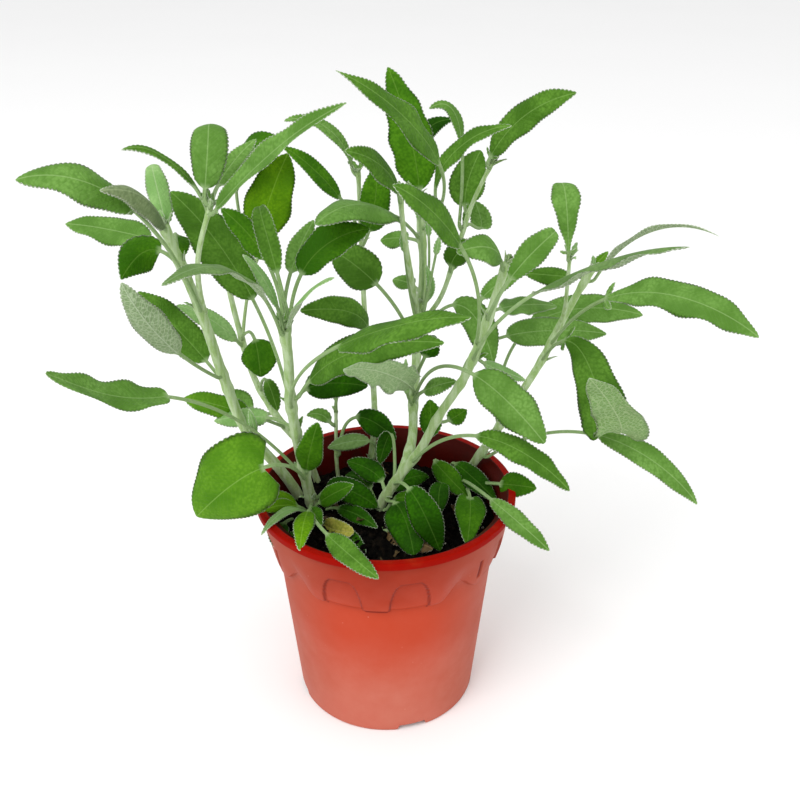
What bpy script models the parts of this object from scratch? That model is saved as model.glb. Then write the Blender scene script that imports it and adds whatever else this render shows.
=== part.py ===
"""Potted sage: a plastic nursery pot, its soil, seven planted stems and their leaves.

Metres, +Z up.  The origin is the middle of the pot's underside, on the surface it stands on;
+X is to the right and -Y is the front.  The places and sizes below are in millimetres.
"""
import math
from collections import namedtuple

import bmesh
import bpy
import numpy as np

MM = 0.001
SHARP_ANGLE = math.radians(40)

# ---------------------------------------------------------------- driving dimensions (mm)
GAP = 0.3                   # clearance left between touching pieces
CUTTER_OVERRUN = 3.0        # how far a cutter reaches past the surface it cuts

POT_HEIGHT = 127.5
POT_BASE_RADIUS = 50.0
POT_RIM_RADIUS = 70.0
WALL_THICKNESS = 1.5
WALL_TAPER = 0.0965         # outward lean of the lower wall
FLOOR_THICKNESS = 1.5
POT_EDGE = 0.8              # the size of its small rounded edges
POT_NECK_RADIUS = 66.4      # outside, just under the lip
LIP_BOTTOM = POT_HEIGHT - 4.0
LIP_DEPTH = 4.6             # across the lip's top
SHOULDER_BOTTOM = 90.0      # height where the thickened shoulder starts
SHOULDER_FLARE = 0.05       # extra outward lean of the inside behind the shoulder
SHOULDER_STEP = 2.0         # how far the shoulder stands out of the wall there
SHOULDER_LEDGE = 0.5        # height over which it does so
SHOULDER_EASE = 2.2         # how early the shoulder reaches its full width
SHOULDER_RINGS = (94.0, 98.0, 103.0, 109.0, 116.0)     # heights of the rings that round it
INSIDE_RINGS = (112.0, 92.0, 2.5)        # heights of the rings down the inside
POT_SEGMENTS = 60

SCALLOP_GROUPS = (-179, -95, -11, 85)    # compass angles of the pairs of arches
SCALLOP_OFFSET = 15.9                    # angle from a pair's middle to each arch
ARCH_FOOT = 9.6                          # half-angle of an arch at its foot
ARCH_HEAD = 6.0                          # and at its flat head
ARCH_TOP = 111.0            # height of the flat head
ARCH_HAUNCH = 106.0         # height where the sides turn in towards the head
ARCH_RELIEF = 0.6           # the arch's back stands this far out of the lower wall's line

DRAIN_SLOTS = 4             # low notches in the foot of the wall
DRAIN_FIRST_ANGLE = -73.0
DRAIN_WIDTH = 15.6
DRAIN_HEIGHT = 2.8
DRAIN_DEPTH = 8.0           # inwards from the wall's outside

SOIL_EDGE_HEIGHT = 107.0
SOIL_CROWN = 4.0            # rise of the soil towards the middle
SOIL_SEGMENTS = 40
SOIL_CLEARANCE = GAP + 0.1  # its flat sides come a little nearer the wall than its corners
SOIL_EDGE = 1.5             # rounded lower edge
SOIL_RINGS = (0.75, 0.45)   # where its crown is rounded, as parts of its radius

STEM_SIDES = 8
STEM_RING_SPACING = 10.0
LEAST_STEM_RINGS = 3
BURIED_POINTS = 3           # a stem's first points, which lie in or just above the soil
BORE_CLEARANCE = 2 * GAP    # between a stem and the bore that it stands in
DIRECTION_STEP = 0.5        # how far to each side a stem's direction is taken from
STEM_RING_START = (1.0, 0.3, 0.0)        # the way to a stem ring's first corner
LEAF_STALK_RADIUS = 0.9
LEAF_THICKNESS = 1.0
LEAF_RING_SPACING = 11.0
LEAST_BLADE_RINGS = 5
KNEE_OUT = 2.0              # a stalk stands out of the stem this far, and rises this much,
KNEE_UP = 1.2               # before it sets off for its aim
FULL_BLADE_SPREAD = 4.0     # half-width where a blade is down to its own thickness
HEX_FLAT = 0.87             # half-height of a six-sided stalk over its radius
INNER_REACH = 0.5           # a blade's inner points lie this far out to its margin,
INNER_LIFT = 1 / 3          # and rise by this part of what the margin does
BLADE_FOOT = 0.07           # the blade's first ring, as a part of its length
BLADE_FULLNESS = 0.75       # below 1 fills out a blade's foot and tip

# ---------------------------------------------------------------- stems (mm)
Stem = namedtuple("Stem", "points base_radius tip_radius")

STEMS = {
    "left": Stem([(-46, 22, 98), (-52, 20, 114), (-60, 17, 130), (-75, 15, 153), (-84, 11, 187),
                  (-90, 2, 225), (-101, -13, 277)], 2.9, 2.2),
    "mid_left": Stem([(-39, 14, 96), (-42, 10, 115), (-45, 4, 142), (-48, -6, 185),
                      (-47, -14, 213), (-48, -18, 231)], 3.0, 2.3),
    "back_left": Stem([(-38, 36, 98), (-42, 37, 114), (-48, 38, 129), (-64, 49, 146),
                       (-76, 62, 161), (-86, 78, 187), (-93, 90, 214)], 2.0, 1.5),
    "shoot": Stem([(-27, 40, 98), (-29, 41, 119), (-29, 44, 135), (-29, 54, 154)], 1.2, 0.8),
    "back": Stem([(-9, 42, 98), (-9, 44, 118), (-7, 49, 138), (-8, 66, 160), (-13, 88, 194),
                  (-14, 93, 225), (-15, 83, 278)], 1.9, 1.2),
    "middle": Stem([(-12, 5, 97), (-6, 4, 108), (4, 1, 128), (18, -2, 151), (28, -5, 174),
                    (40, -8, 197), (50, -10, 228), (58, -10, 258)], 2.7, 2.1),
    "right": Stem([(39, 35, 97), (43, 33, 110), (50, 30, 125), (57, 30, 137), (70, 36, 157),
                   (86, 46, 180), (98, 51, 205), (110, 45, 236)], 2.7, 2.0),
}

TWIGS = {   # each starts inside the stem it grows from
    "left_top": ("left", Stem([(-89, 2, 228), (-88, -10, 245), (-85, -20, 264), (-75, -29, 292)],
                              1.4, 1.1)),
    "back_left_top": ("back_left", Stem([(-84, 74, 179), (-82, 80, 196), (-78, 80, 214),
                                         (-70, 74, 235)], 1.0, 0.8)),
    "centre": ("middle", Stem([(8, 0, 135), (14, 9, 150), (15, 21, 170), (18, 38, 205),
                               (20, 45, 236), (17, 48, 274)], 2.5, 1.9)),
    "centre_left": ("middle", Stem([(18, 41, 208), (13, 29, 240), (9, 18, 270), (8, 14, 284)],
                                   1.5, 1.2)),
    "crown_right": ("middle", Stem([(19, 41, 206), (29, 53, 214), (38, 63, 236), (46, 64, 264),
                                    (56, 61, 288)], 1.3, 1.0)),
    "right_top": ("right", Stem([(94, 50, 196), (96, 42, 211), (95, 32, 230), (94, 26, 249)],
                                1.2, 0.9)),
}

# ---------------------------------------------------------------- leaves (mm)
# A leaf leaves its stem at `height`, heads for `aim` and curves over to its `tip`, both given
# from the stem there.  Its blade starts after `stalk`, is `width` across at the part `widest`
# of its length, and looks towards `face` at its middle.  `fold` lifts its margins, as a part of
# its half-width.  A leaf that changes course, or is bent double, has a `bend`: where it turns,
# and what it heads for then.
Leaf = namedtuple("Leaf", "height aim tip stalk width face fold widest bend",
                  defaults=(0.0, 0.42, None))

FRONT = (0, -3, 1)
FRONT_LEFT = (-1, -2, 1)
FRONT_RIGHT = (1, -2, 1)
UP = (0, -1, 3)
UP_FRONT = (0, -1, 1)
UP_LEFT = (-1, -1, 1)
UP_RIGHT = (1, -1, 1)
BACK_LEFT = (-1, 2, 1)
UNDER_FRONT = (0, -1, -2)

LEAVES = {
    "left": [
        Leaf(231, (-8, -50, 88), (-59, -54, 79), 75, 17, UP_RIGHT, -0.2),
        Leaf(276, (3, -26, 25), (-8, -50, 33), 8, 10, UP_RIGHT, -0.4),
        Leaf(275, (-4, 10, 17), (-11, 29, 27), 8, 12, UP_FRONT, -0.2),
        Leaf(259, (-15, 55, -8), (-72, 59, 0), 47, 17, UP_FRONT, 0.1),
        Leaf(253, (-20, 20, 14), (-28, -7, -2), 18, 17, FRONT_RIGHT, -0.2),
        Leaf(190, (-19, -50, 37), (-31, -52, 69), 46, 17, BACK_LEFT, 0.4),
        Leaf(181, (-20, 27, 12), (-50, 33, 42), 21, 20, FRONT_RIGHT, 0.1),
    ],
    "left_top": [
        Leaf(289, (-11, 8, 21), (-33, -4, 32), 11, 10, UP),
        Leaf(291, (4, -8, 33), (-2, 26, 31), 12, 17, UP_FRONT, -0.2),
        Leaf(288, (24, -26, 28), (62, -39, 56), 12, 14, UP_LEFT, 0.1),
    ],
    "mid_left": [
        Leaf(179, (-16, 30, 60), (-60, 42, 101), 58, 26, FRONT_RIGHT, 0.1),
        Leaf(229, (-5, 30, 28), (-33, 40, 46), 36, 13, FRONT, 0.2),
        Leaf(230, (-2, -9, 36), (-14, 18, 53), 29, 11, FRONT, 0.3),
        Leaf(226, (-8, -34, 58), (-36, -79, 56), 32, 14, UP),
        Leaf(137, (-32, -10, 44), (-101, -69, 91), 92, 18, UP_FRONT, 0.3,
             bend=((-61, -34, 60), (-85, -53, 65))),
        Leaf(132, (-4, -75, 67), (-50, -51, 5), 62, 42, FRONT, -0.1, widest=0.3),
        Leaf(221, (3, 4, 48), (41, 16, 51), 34, 19, UP_FRONT, 0.2),
        Leaf(181, (4, -60, 62), (83, -88, 86), 90, 20, UP, -0.1),
        Leaf(185, (22, -20, 42), (76, -29, 44), 18, 20, UP_FRONT),
        Leaf(114, (14, -10, 22), (38, -12, 1), 13, 15, UP_FRONT, 0.1),
        Leaf(112, (0, -56, 26), (39, -91, 16), 63, 12, UP_FRONT, 0.1),
    ],
    "back_left_top": [
        Leaf(233, (6, -15, 30), (19, -1, 57), 12, 26, FRONT, 0.1),
    ],
    "shoot": [
        Leaf(123, (4, 0, 44), (35, -7, 14), 31, 15, UP_FRONT),
    ],
    "back": [
        Leaf(233, (9, -27, 22), (10, -13, 50), 18, 18, FRONT, 0.1),
        Leaf(275, (-7, -5, 31), (-37, -14, 36), 9, 12, UP_RIGHT),
        Leaf(240, (-6, -30, 32), (-38, -31, 57), 39, 16, UP_RIGHT),
        Leaf(177, (3, -14, 32), (-36, -28, 32), 15, 17, FRONT_RIGHT),
    ],
    "middle": [
        Leaf(217, (3, -28, 58), (-41, -45, 91), 68, 17, UP_RIGHT, 0.1),
        Leaf(255, (-3, -15, 21), (-24, -22, 16), 9, 15, UP_RIGHT, -0.2),
        Leaf(230, (5, -21, 32), (31, -3, 46), 32, 12, FRONT, 0.2),
        Leaf(209, (10, -41, 58), (81, -58, 79), 64, 14, UP),
        Leaf(193, (9, 86, -2), (92, 89, -10), 76, 19, UP_FRONT),
        Leaf(146, (27, -35, 56), (78, -37, 3), 52, 13, UP_FRONT, 0.1),
        Leaf(120, (10, -18, 10), (15, -41, -9), 12, 18, UP_FRONT),
        Leaf(131, (7, -30, 24), (23, -36, -21), 24, 17, FRONT, 0.1),
    ],
    "centre": [
        Leaf(252, (-24, -40, 37), (-50, -65, 25), 32, 22, UP, -0.2),
        Leaf(271, (-2, 9, 34), (-16, 22, 62), 9, 24, FRONT, 0.1),
        Leaf(257, (30, -55, 46), (-36, -78, 93), 67, 17, UP_RIGHT, 0.1),
        Leaf(169, (11, -52, 74), (63, -61, 8), 72, 21, FRONT),
        Leaf(172, (-2, -58, 40), (-33, -105, 69), 26, 19, BACK_LEFT),
        Leaf(192, (-9, -31, 48), (-44, -2, 59), 54, 22, FRONT, 0.1),
    ],
    "centre_left": [
        Leaf(281, (-2, -12, 21), (-24, -28, 31), 9, 15, UP_RIGHT),
    ],
    "crown_right": [
        Leaf(243, (-35, -30, 50), (21, -31, 73), 44, 14, UP_LEFT, 0.2),
        Leaf(285, (9, -9, 32), (37, -26, 43), 8, 16, FRONT_LEFT, 0.1),
    ],
    "right": [
        Leaf(228, (21, -12, 43), (57, -34, 38), 27, 12, UP_LEFT),
        Leaf(191, (23, -45, 72), (88, -71, 35), 55, 19, UP_FRONT, 0.1),
        Leaf(182, (14, -24, 44), (8, -88, 36), 30, 20, UNDER_FRONT,
             bend=((27, -54, -14), (44, -66, -20))),
        Leaf(131, (56, -26, 56), (116, -36, -11), 71, 14, UP_FRONT, 0.1),
        Leaf(148, (3, 84, 52), (93, 76, 36), 76, 22, UP_FRONT),
        Leaf(113, (-4, -62, 41), (40, -75, 3), 62, 11, UP_FRONT, 0.1),
    ],
    "right_top": [
        Leaf(247, (-5, -17, 28), (-6, 7, 43), 10, 13, FRONT),
    ],
}


# ---------------------------------------------------------------- materials
def material(name, colour, roughness):
    """A plain non-metallic Principled surface."""
    surface = bpy.data.materials.new(name)
    surface.use_nodes = True
    shader = surface.node_tree.nodes["Principled BSDF"]
    shader.inputs["Base Color"].default_value = (*colour, 1.0)
    shader.inputs["Roughness"].default_value = roughness
    shader.inputs["Metallic"].default_value = 0.0
    return surface


def make_materials():
    return {
        "pot": material("pot_orange_plastic", (0.62, 0.09, 0.035), 0.45),
        "soil": material("soil_peat", (0.02, 0.015, 0.011), 0.95),
        "stem": material("stem_downy_green", (0.38, 0.50, 0.27), 0.75),
        "leaf": material("leaf_sage_green", (0.10, 0.27, 0.06), 0.65),
    }


# ---------------------------------------------------------------- curves
def smooth_path(points, steps=10):
    """A dense line along a smooth curve through three or more points."""
    knots = np.array(points, dtype=float)
    chords = np.linalg.norm(np.diff(knots, axis=0), axis=1)
    slopes = np.diff(knots, axis=0) / chords[:, None]
    before, after = chords[:-1, None], chords[1:, None]
    inner = (slopes[:-1] * after + slopes[1:] * before) / (before + after)
    tangents = np.vstack([1.5 * slopes[0] - 0.5 * inner[0], inner,
                          1.5 * slopes[-1] - 0.5 * inner[-1]])
    line = [knots[0]]
    for i, chord in enumerate(chords):
        for step in range(1, steps + 1):
            t = step / steps
            ahead = t * t * (3 - 2 * t)
            line.append((1 - ahead) * knots[i] + ahead * knots[i + 1]
                        + chord * t * (1 - t) ** 2 * tangents[i]
                        - chord * t * t * (1 - t) * tangents[i + 1])
    return np.array(line)


def arc(start, aim, end, steps=20):
    """A dense line that leaves `start` for `aim` and arrives at `end` coming from `aim`."""
    parts = np.linspace(0.0, 1.0, steps + 1)[:, None]
    return (1 - parts) ** 2 * start + 2 * parts * (1 - parts) * aim + parts ** 2 * end


def lengths_along(line):
    return np.concatenate([[0.0], np.cumsum(np.linalg.norm(np.diff(line, axis=0), axis=1))])


def places_along(line, lengths, wanted):
    return np.stack([np.interp(wanted, lengths, line[:, axis]) for axis in range(3)], axis=1)


def unit(vector):
    return vector / np.linalg.norm(vector)


def tangents_along(places):
    return np.array([unit(step) for step in np.gradient(places, axis=0)])


def carried_normals(tangents, normal, start):
    """The normal at each place, carried along the curve without twisting from `start`."""
    normals = [None] * len(tangents)
    for direction in (1, -1):
        current = np.array(normal, dtype=float)
        i = start
        while 0 <= i < len(tangents):
            current = unit(current - tangents[i] * tangents[i].dot(current))
            normals[i] = current
            i += direction
    return np.array(normals)


# ---------------------------------------------------------------- meshes
def add_object(name, vertices, faces, surface):
    """A new object from places in millimetres, with its faces pointing out."""
    mesh = bpy.data.meshes.new(name)
    mesh.from_pydata([tuple(float(c) * MM for c in v) for v in vertices], [], faces)
    work = bmesh.new()
    work.from_mesh(mesh)
    bmesh.ops.recalc_face_normals(work, faces=work.faces)
    work.to_mesh(mesh)
    work.free()
    mesh.shade_smooth()
    mesh.set_sharp_from_angle(angle=SHARP_ANGLE)
    mesh.materials.append(surface)
    thing = bpy.data.objects.new(name, mesh)
    bpy.context.collection.objects.link(thing)
    return thing


def skin_rings(rings, closed_tip=None):
    """Vertices and faces of a body through equal rings, capped, or drawn to a point at the tip."""
    count = len(rings[0])
    vertices = [tuple(v) for ring in rings for v in ring]
    faces = []
    for k in range(len(rings) - 1):
        for i in range(count):
            a, b = k * count + i, k * count + (i + 1) % count
            faces.append((a, b, b + count, a + count))
    faces.append(tuple(reversed(range(count))))
    last = (len(rings) - 1) * count
    if closed_tip is None:
        faces.append(tuple(range(last, last + count)))
    else:
        vertices.append(tuple(closed_tip))
        for i in range(count):
            faces.append((last + i, last + (i + 1) % count, len(vertices) - 1))
    return vertices, faces


def turned(name, profile, segments, surface):
    """A body turned about Z from a closed profile whose first and last points are on the axis."""
    vertices = [(0.0, 0.0, profile[0][1])]
    for radius, height in profile[1:-1]:
        for i in range(segments):
            angle = 2 * math.pi * i / segments
            vertices.append((radius * math.cos(angle), radius * math.sin(angle), height))
    vertices.append((0.0, 0.0, profile[-1][1]))
    faces = []
    rings = len(profile) - 2
    top = len(vertices) - 1
    for i in range(segments):
        j = (i + 1) % segments
        faces.append((0, 1 + j, 1 + i))
        faces.append((top, top - segments + i, top - segments + j))
        for k in range(rings - 1):
            low, high = 1 + k * segments, 1 + (k + 1) * segments
            faces.append((low + i, low + j, high + j, high + i))
    return add_object(name, vertices, faces, surface)


def combine(target, tool, operation):
    """Cut or join `tool` into `target`, keeping the tool as a hidden guide."""
    step = target.modifiers.new(f"{operation.lower()}_{tool.name}", "BOOLEAN")
    step.operation = operation
    step.solver = "EXACT"
    step.object = tool
    tool.hide_render = True
    tool.display_type = "WIRE"


# ---------------------------------------------------------------- pot
def wall_radius(height):
    return POT_BASE_RADIUS + WALL_TAPER * height


def shoulder_radius(height):
    """The shoulder stands a step out of the wall and eases up to the neck under the lip."""
    foot = wall_radius(SHOULDER_BOTTOM) + SHOULDER_STEP
    part = (height - SHOULDER_BOTTOM) / (LIP_BOTTOM - SHOULDER_BOTTOM)
    return foot + (POT_NECK_RADIUS - foot) * (1 - (1 - part) ** SHOULDER_EASE)


def inner_radius(height):
    """Inside of the pot: it follows the wall, then opens out behind the shoulder."""
    below = wall_radius(height) - WALL_THICKNESS
    return below + SHOULDER_FLARE * max(0.0, height - SHOULDER_BOTTOM)


def pot_profile():
    """Half-section of the pot: up the outside, over the lip and down the inside."""
    foot = [(POT_BASE_RADIUS - POT_EDGE, 0), (POT_BASE_RADIUS, POT_EDGE)]
    shoulder = [(wall_radius(SHOULDER_BOTTOM), SHOULDER_BOTTOM)]
    shoulder += [(shoulder_radius(height), height)
                 for height in (SHOULDER_BOTTOM + SHOULDER_LEDGE, *SHOULDER_RINGS, LIP_BOTTOM)]
    lip = [(POT_RIM_RADIUS - POT_EDGE, LIP_BOTTOM), (POT_RIM_RADIUS, LIP_BOTTOM + POT_EDGE),
           (POT_RIM_RADIUS, POT_HEIGHT - POT_EDGE), (POT_RIM_RADIUS - POT_EDGE, POT_HEIGHT),
           (POT_RIM_RADIUS - LIP_DEPTH + POT_EDGE, POT_HEIGHT),
           (POT_RIM_RADIUS - LIP_DEPTH, POT_HEIGHT - POT_EDGE)]
    inside = [(inner_radius(height), height) for height in INSIDE_RINGS]
    inside += [(inner_radius(FLOOR_THICKNESS) - POT_EDGE, FLOOR_THICKNESS), (0, FLOOR_THICKNESS)]
    return [(0, 0)] + foot + shoulder + lip + inside


def wedge_cutter(name, angle, columns, inner, outer, surface):
    """A curved block between two radii; its columns are (angle offset, bottom, top)."""
    vertices = []
    for offset, bottom, top in columns:
        turn = math.radians(angle + offset)
        for radius_at, height in ((inner, bottom), (outer, bottom), (outer, top), (inner, top)):
            radius = radius_at(height)
            vertices.append((radius * math.cos(turn), radius * math.sin(turn), height))
    rings = [vertices[k:k + 4] for k in range(0, len(vertices), 4)]
    return add_object(name, *skin_rings(rings), surface)


def make_pot(surface):
    pot = turned("pot", pot_profile(), POT_SEGMENTS, surface)
    arch = [(offset, SHOULDER_BOTTOM - CUTTER_OVERRUN, top)
            for offset, top in ((-ARCH_FOOT, ARCH_HAUNCH), (-ARCH_HEAD, ARCH_TOP), (0, ARCH_TOP),
                                (ARCH_HEAD, ARCH_TOP), (ARCH_FOOT, ARCH_HAUNCH))]
    for group in SCALLOP_GROUPS:
        for side in (-1, 1):
            cutter = wedge_cutter(f"arch_cutter_{group}_{side}", group + side * SCALLOP_OFFSET,
                                  arch, lambda height: wall_radius(height) + ARCH_RELIEF,
                                  lambda height: POT_RIM_RADIUS + CUTTER_OVERRUN, surface)
            combine(pot, cutter, "DIFFERENCE")
    half_slot = math.degrees(DRAIN_WIDTH / 2 / POT_BASE_RADIUS)
    slot = [(offset, -CUTTER_OVERRUN, DRAIN_HEIGHT) for offset in (-half_slot, 0.0, half_slot)]
    for k in range(DRAIN_SLOTS):
        cutter = wedge_cutter(f"drain_cutter_{k}", DRAIN_FIRST_ANGLE + k * 360 / DRAIN_SLOTS, slot,
                              lambda height: POT_BASE_RADIUS - DRAIN_DEPTH,
                              lambda height: POT_BASE_RADIUS + CUTTER_OVERRUN, surface)
        combine(pot, cutter, "DIFFERENCE")
    return pot


# ---------------------------------------------------------------- soil
def make_soil(surface):
    """The root ball: it fills the pot to a slightly raised top, with a bore round each stem."""
    def edge(height):
        return inner_radius(height) - SOIL_CLEARANCE

    base = FLOOR_THICKNESS + GAP
    profile = [(0, base), (edge(base) - SOIL_EDGE, base), (edge(base + SOIL_EDGE), base + SOIL_EDGE),
               (edge(SHOULDER_BOTTOM), SHOULDER_BOTTOM), (edge(SOIL_EDGE_HEIGHT), SOIL_EDGE_HEIGHT)]
    for part in SOIL_RINGS:
        radius = edge(SOIL_EDGE_HEIGHT) * part
        profile.append((radius, SOIL_EDGE_HEIGHT + SOIL_CROWN * (1 - part ** 2)))
    profile.append((0, SOIL_EDGE_HEIGHT + SOIL_CROWN))
    soil = turned("soil", profile, SOIL_SEGMENTS, surface)
    for name, stem in STEMS.items():
        bore_radius = stem.base_radius + BORE_CLEARANCE
        cutter = tube(f"bore_{name}", stem.points[:BURIED_POINTS], bore_radius, bore_radius,
                      surface, start_back=GAP)
        combine(soil, cutter, "DIFFERENCE")
    return soil


# ---------------------------------------------------------------- stems
def tube(name, points, base_radius, tip_radius, surface, start_back=0.0):
    """A round stem along the points, tapering from base to tip."""
    line = smooth_path(points)
    lengths = lengths_along(line)
    count = max(LEAST_STEM_RINGS, round(lengths[-1] / STEM_RING_SPACING) + 1)
    wanted = np.linspace(0, lengths[-1], count)
    places = places_along(line, lengths, wanted)
    tangents = tangents_along(places)
    places[0] -= start_back * tangents[0]
    normals = carried_normals(tangents, STEM_RING_START, 0)
    rings = []
    for part, place, tangent, normal in zip(wanted / lengths[-1], places, tangents, normals):
        radius = base_radius + (tip_radius - base_radius) * part
        side = np.cross(tangent, normal)
        turns = [2 * math.pi * i / STEM_SIDES for i in range(STEM_SIDES)]
        rings.append([place + radius * (math.cos(a) * normal + math.sin(a) * side) for a in turns])
    vertices, faces = skin_rings(rings)
    return add_object(name, vertices, faces, surface)


def make_stems(surface):
    stems = {name: tube(f"stem_{name}", *stem, surface) for name, stem in STEMS.items()}
    for name, (parent, stem) in TWIGS.items():
        twig = tube(f"twig_{name}", *stem, surface)
        combine(stems[parent], twig, "UNION")


def stem_at(name, height):
    """Centre, direction and radius of a stem or twig at a height."""
    stem = STEMS[name] if name in STEMS else TWIGS[name][1]
    line = smooth_path(stem.points)
    lengths = lengths_along(line)
    along = np.interp(height, line[:, 2], lengths)
    part = along / lengths[-1]
    behind, ahead = places_along(line, lengths, [along - DIRECTION_STEP, along + DIRECTION_STEP])
    radius = stem.base_radius + (stem.tip_radius - stem.base_radius) * part
    return (behind + ahead) / 2, unit(ahead - behind), radius


# ---------------------------------------------------------------- leaves
def blade_outline(part, widest):
    """Half-width along a blade as a part of its greatest: rounded foot, slimmer tip."""
    if not 0 < part < 1:
        return 0.0
    return math.sin(math.pi * part ** (math.log(0.5) / math.log(widest))) ** BLADE_FULLNESS


def leaf_path(name, leaf):
    """The leaf's middle line from just off the stem's skin, and the way it leaves the stem."""
    centre, direction, radius = stem_at(name, leaf.height)
    outward = unit(leaf.aim - direction * direction.dot(leaf.aim))
    foot = centre + outward * (radius + GAP)
    knee = foot + outward * KNEE_OUT + direction * KNEE_UP
    if leaf.bend is None:
        course = [arc(knee, centre + leaf.aim, centre + leaf.tip)]
    else:
        turn, second_aim = leaf.bend
        course = [arc(knee, centre + leaf.aim, centre + turn),
                  arc(centre + turn, centre + second_aim, centre + leaf.tip)[1:]]
    return np.vstack([foot, *course]), outward


def make_leaf(node, name, leaf, surface):
    """A stalk that widens into a thin blade, six points round, ending in a point."""
    line, outward = leaf_path(name, leaf)
    lengths = lengths_along(line)
    knee = lengths[1]
    blade_length = lengths[-1] - leaf.stalk
    stalk_rings = max(1, round((leaf.stalk - knee) / LEAF_RING_SPACING))
    blade_rings = max(LEAST_BLADE_RINGS, round(blade_length / LEAF_RING_SPACING))
    stations = [0.0] + list(np.linspace(knee, leaf.stalk, stalk_rings + 1))
    stations += [leaf.stalk + blade_length * part
                 for part in [BLADE_FOOT] + [k / blade_rings for k in range(1, blade_rings)]]
    places = places_along(line, lengths, stations + [lengths[-1]])
    tangents = tangents_along(places)
    tangents[0] = outward
    middle = len(stations) - blade_rings // 2
    normals = carried_normals(tangents, leaf.face, middle)
    rings = []
    for along, place, tangent, normal in zip(stations, places, tangents, normals):
        spread = leaf.width / 2 * blade_outline((along - leaf.stalk) / blade_length, leaf.widest)
        half = math.hypot(spread, LEAF_STALK_RADIUS)
        bladed = min(1.0, spread / FULL_BLADE_SPREAD)
        thick = LEAF_STALK_RADIUS * HEX_FLAT * (1 - bladed) + LEAF_THICKNESS / 2 * bladed
        side = np.cross(normal, tangent)
        lift = leaf.fold * spread
        inner = half * INNER_REACH * side
        upper = (lift * INNER_LIFT + thick) * normal
        lower = (lift * INNER_LIFT - thick) * normal
        ring = [place + half * side + lift * normal, place + inner + upper, place - inner + upper]
        ring += [place - half * side + lift * normal, place - inner + lower, place + inner + lower]
        rings.append(ring)
    vertices, faces = skin_rings(rings, closed_tip=places[-1])
    return add_object(node, vertices, faces, surface)


def make_leaves(surface):
    for name, leaves in LEAVES.items():
        for number, leaf in enumerate(leaves, start=1):
            make_leaf(f"leaf_{name}_{number}", name, leaf, surface)


# ---------------------------------------------------------------- whole plant
def main():
    for thing in list(bpy.data.objects):
        bpy.data.objects.remove(thing, do_unlink=True)
    surfaces = make_materials()
    make_pot(surfaces["pot"])
    make_soil(surfaces["soil"])
    make_stems(surfaces["stem"])
    make_leaves(surfaces["leaf"])


main()
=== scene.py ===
"""Looks of the potted sage: toothed, veined leaves, downy stems, peat and the moulded pot.

Everything is built in millimetres, from the same stems as the CAD part and nearly the same leaves,
and scaled to metres when a mesh is made.  +Z is up, -Y is the front, and the pot stands on z = 0.
"""
import math
from collections import namedtuple

import bpy
import numpy as np
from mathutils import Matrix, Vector


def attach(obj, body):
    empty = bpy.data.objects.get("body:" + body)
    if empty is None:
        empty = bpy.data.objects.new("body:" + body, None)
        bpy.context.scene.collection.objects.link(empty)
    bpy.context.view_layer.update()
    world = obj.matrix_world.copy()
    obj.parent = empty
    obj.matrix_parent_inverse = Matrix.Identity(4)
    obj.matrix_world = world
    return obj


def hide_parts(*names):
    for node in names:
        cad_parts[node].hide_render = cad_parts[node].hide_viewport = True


MM = 0.001

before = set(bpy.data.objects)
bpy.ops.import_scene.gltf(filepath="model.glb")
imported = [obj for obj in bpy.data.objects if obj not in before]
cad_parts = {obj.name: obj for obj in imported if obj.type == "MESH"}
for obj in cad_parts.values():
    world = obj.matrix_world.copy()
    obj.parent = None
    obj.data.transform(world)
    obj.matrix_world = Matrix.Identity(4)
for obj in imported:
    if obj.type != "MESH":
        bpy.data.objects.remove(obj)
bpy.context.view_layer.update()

# ---------------------------------------------------------------- driving dimensions (mm)
POT_HEIGHT = 127.5
POT_BASE_RADIUS = 50.0
POT_RIM_RADIUS = 70.0
WALL_THICKNESS = 1.5
WALL_TAPER = 0.0965
FLOOR_THICKNESS = 1.5
POT_NECK_RADIUS = 66.4
LIP_BOTTOM = POT_HEIGHT - 4.0
LIP_DEPTH = 4.6
SHOULDER_BOTTOM = 90.0
SHOULDER_FLARE = 0.05
SHOULDER_STEP = 2.0
SHOULDER_EASE = 2.2

SCALLOP_GROUPS = (-178, -94, -10, 86)    # compass angles of the pairs of arches
SCALLOP_OFFSET = 15.9
ARCH_TOP = 111.5
ARCH_HEIGHTS = (92.0, 100.0, 106.0, 109.5, 111.5)
ARCH_HALVES = (9.6, 8.9, 7.6, 6.2, 4.3)      # half an arch's width at those heights (degrees)
ARCH_RELIEF = 0.6
ARCH_DEPTH = 1.3
ARCH_LINE = 92.5            # a thin raised line closes each arch below
LOBE_DROP = 2.8             # how much lower the lobe between two arches hangs
LOBE_REACH = 39.0           # angle from a pair's middle where its outer lobes fade out

DRAIN_SLOTS = 4
DRAIN_FIRST_ANGLE = -73.0
DRAIN_WIDTH = 15.6
DRAIN_HEIGHT = 2.8
DRAIN_DEPTH = 8.0

SOIL_EDGE_HEIGHT = 107.0
SOIL_CROWN = 4.0

STALK_RADIUS = 0.95
BLADE_THICKNESS = 0.55
STALK_GAP = 0.3             # how far outside its stem's skin a stalk turns upwards
ROOT_REACH = 0.4            # how far out a stalk is rooted, as a part of its stem's radius
DIRECTION_STEP = 0.5        # how far each way a stem's direction is taken
KNEE_OUT = 2.0
KNEE_UP = 1.2
BLADE_FULLNESS = 0.6
TOOTH_DEPTH = 0.55

# ---------------------------------------------------------------- stems (mm)
Stem = namedtuple("Stem", "points base_radius tip_radius")

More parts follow.
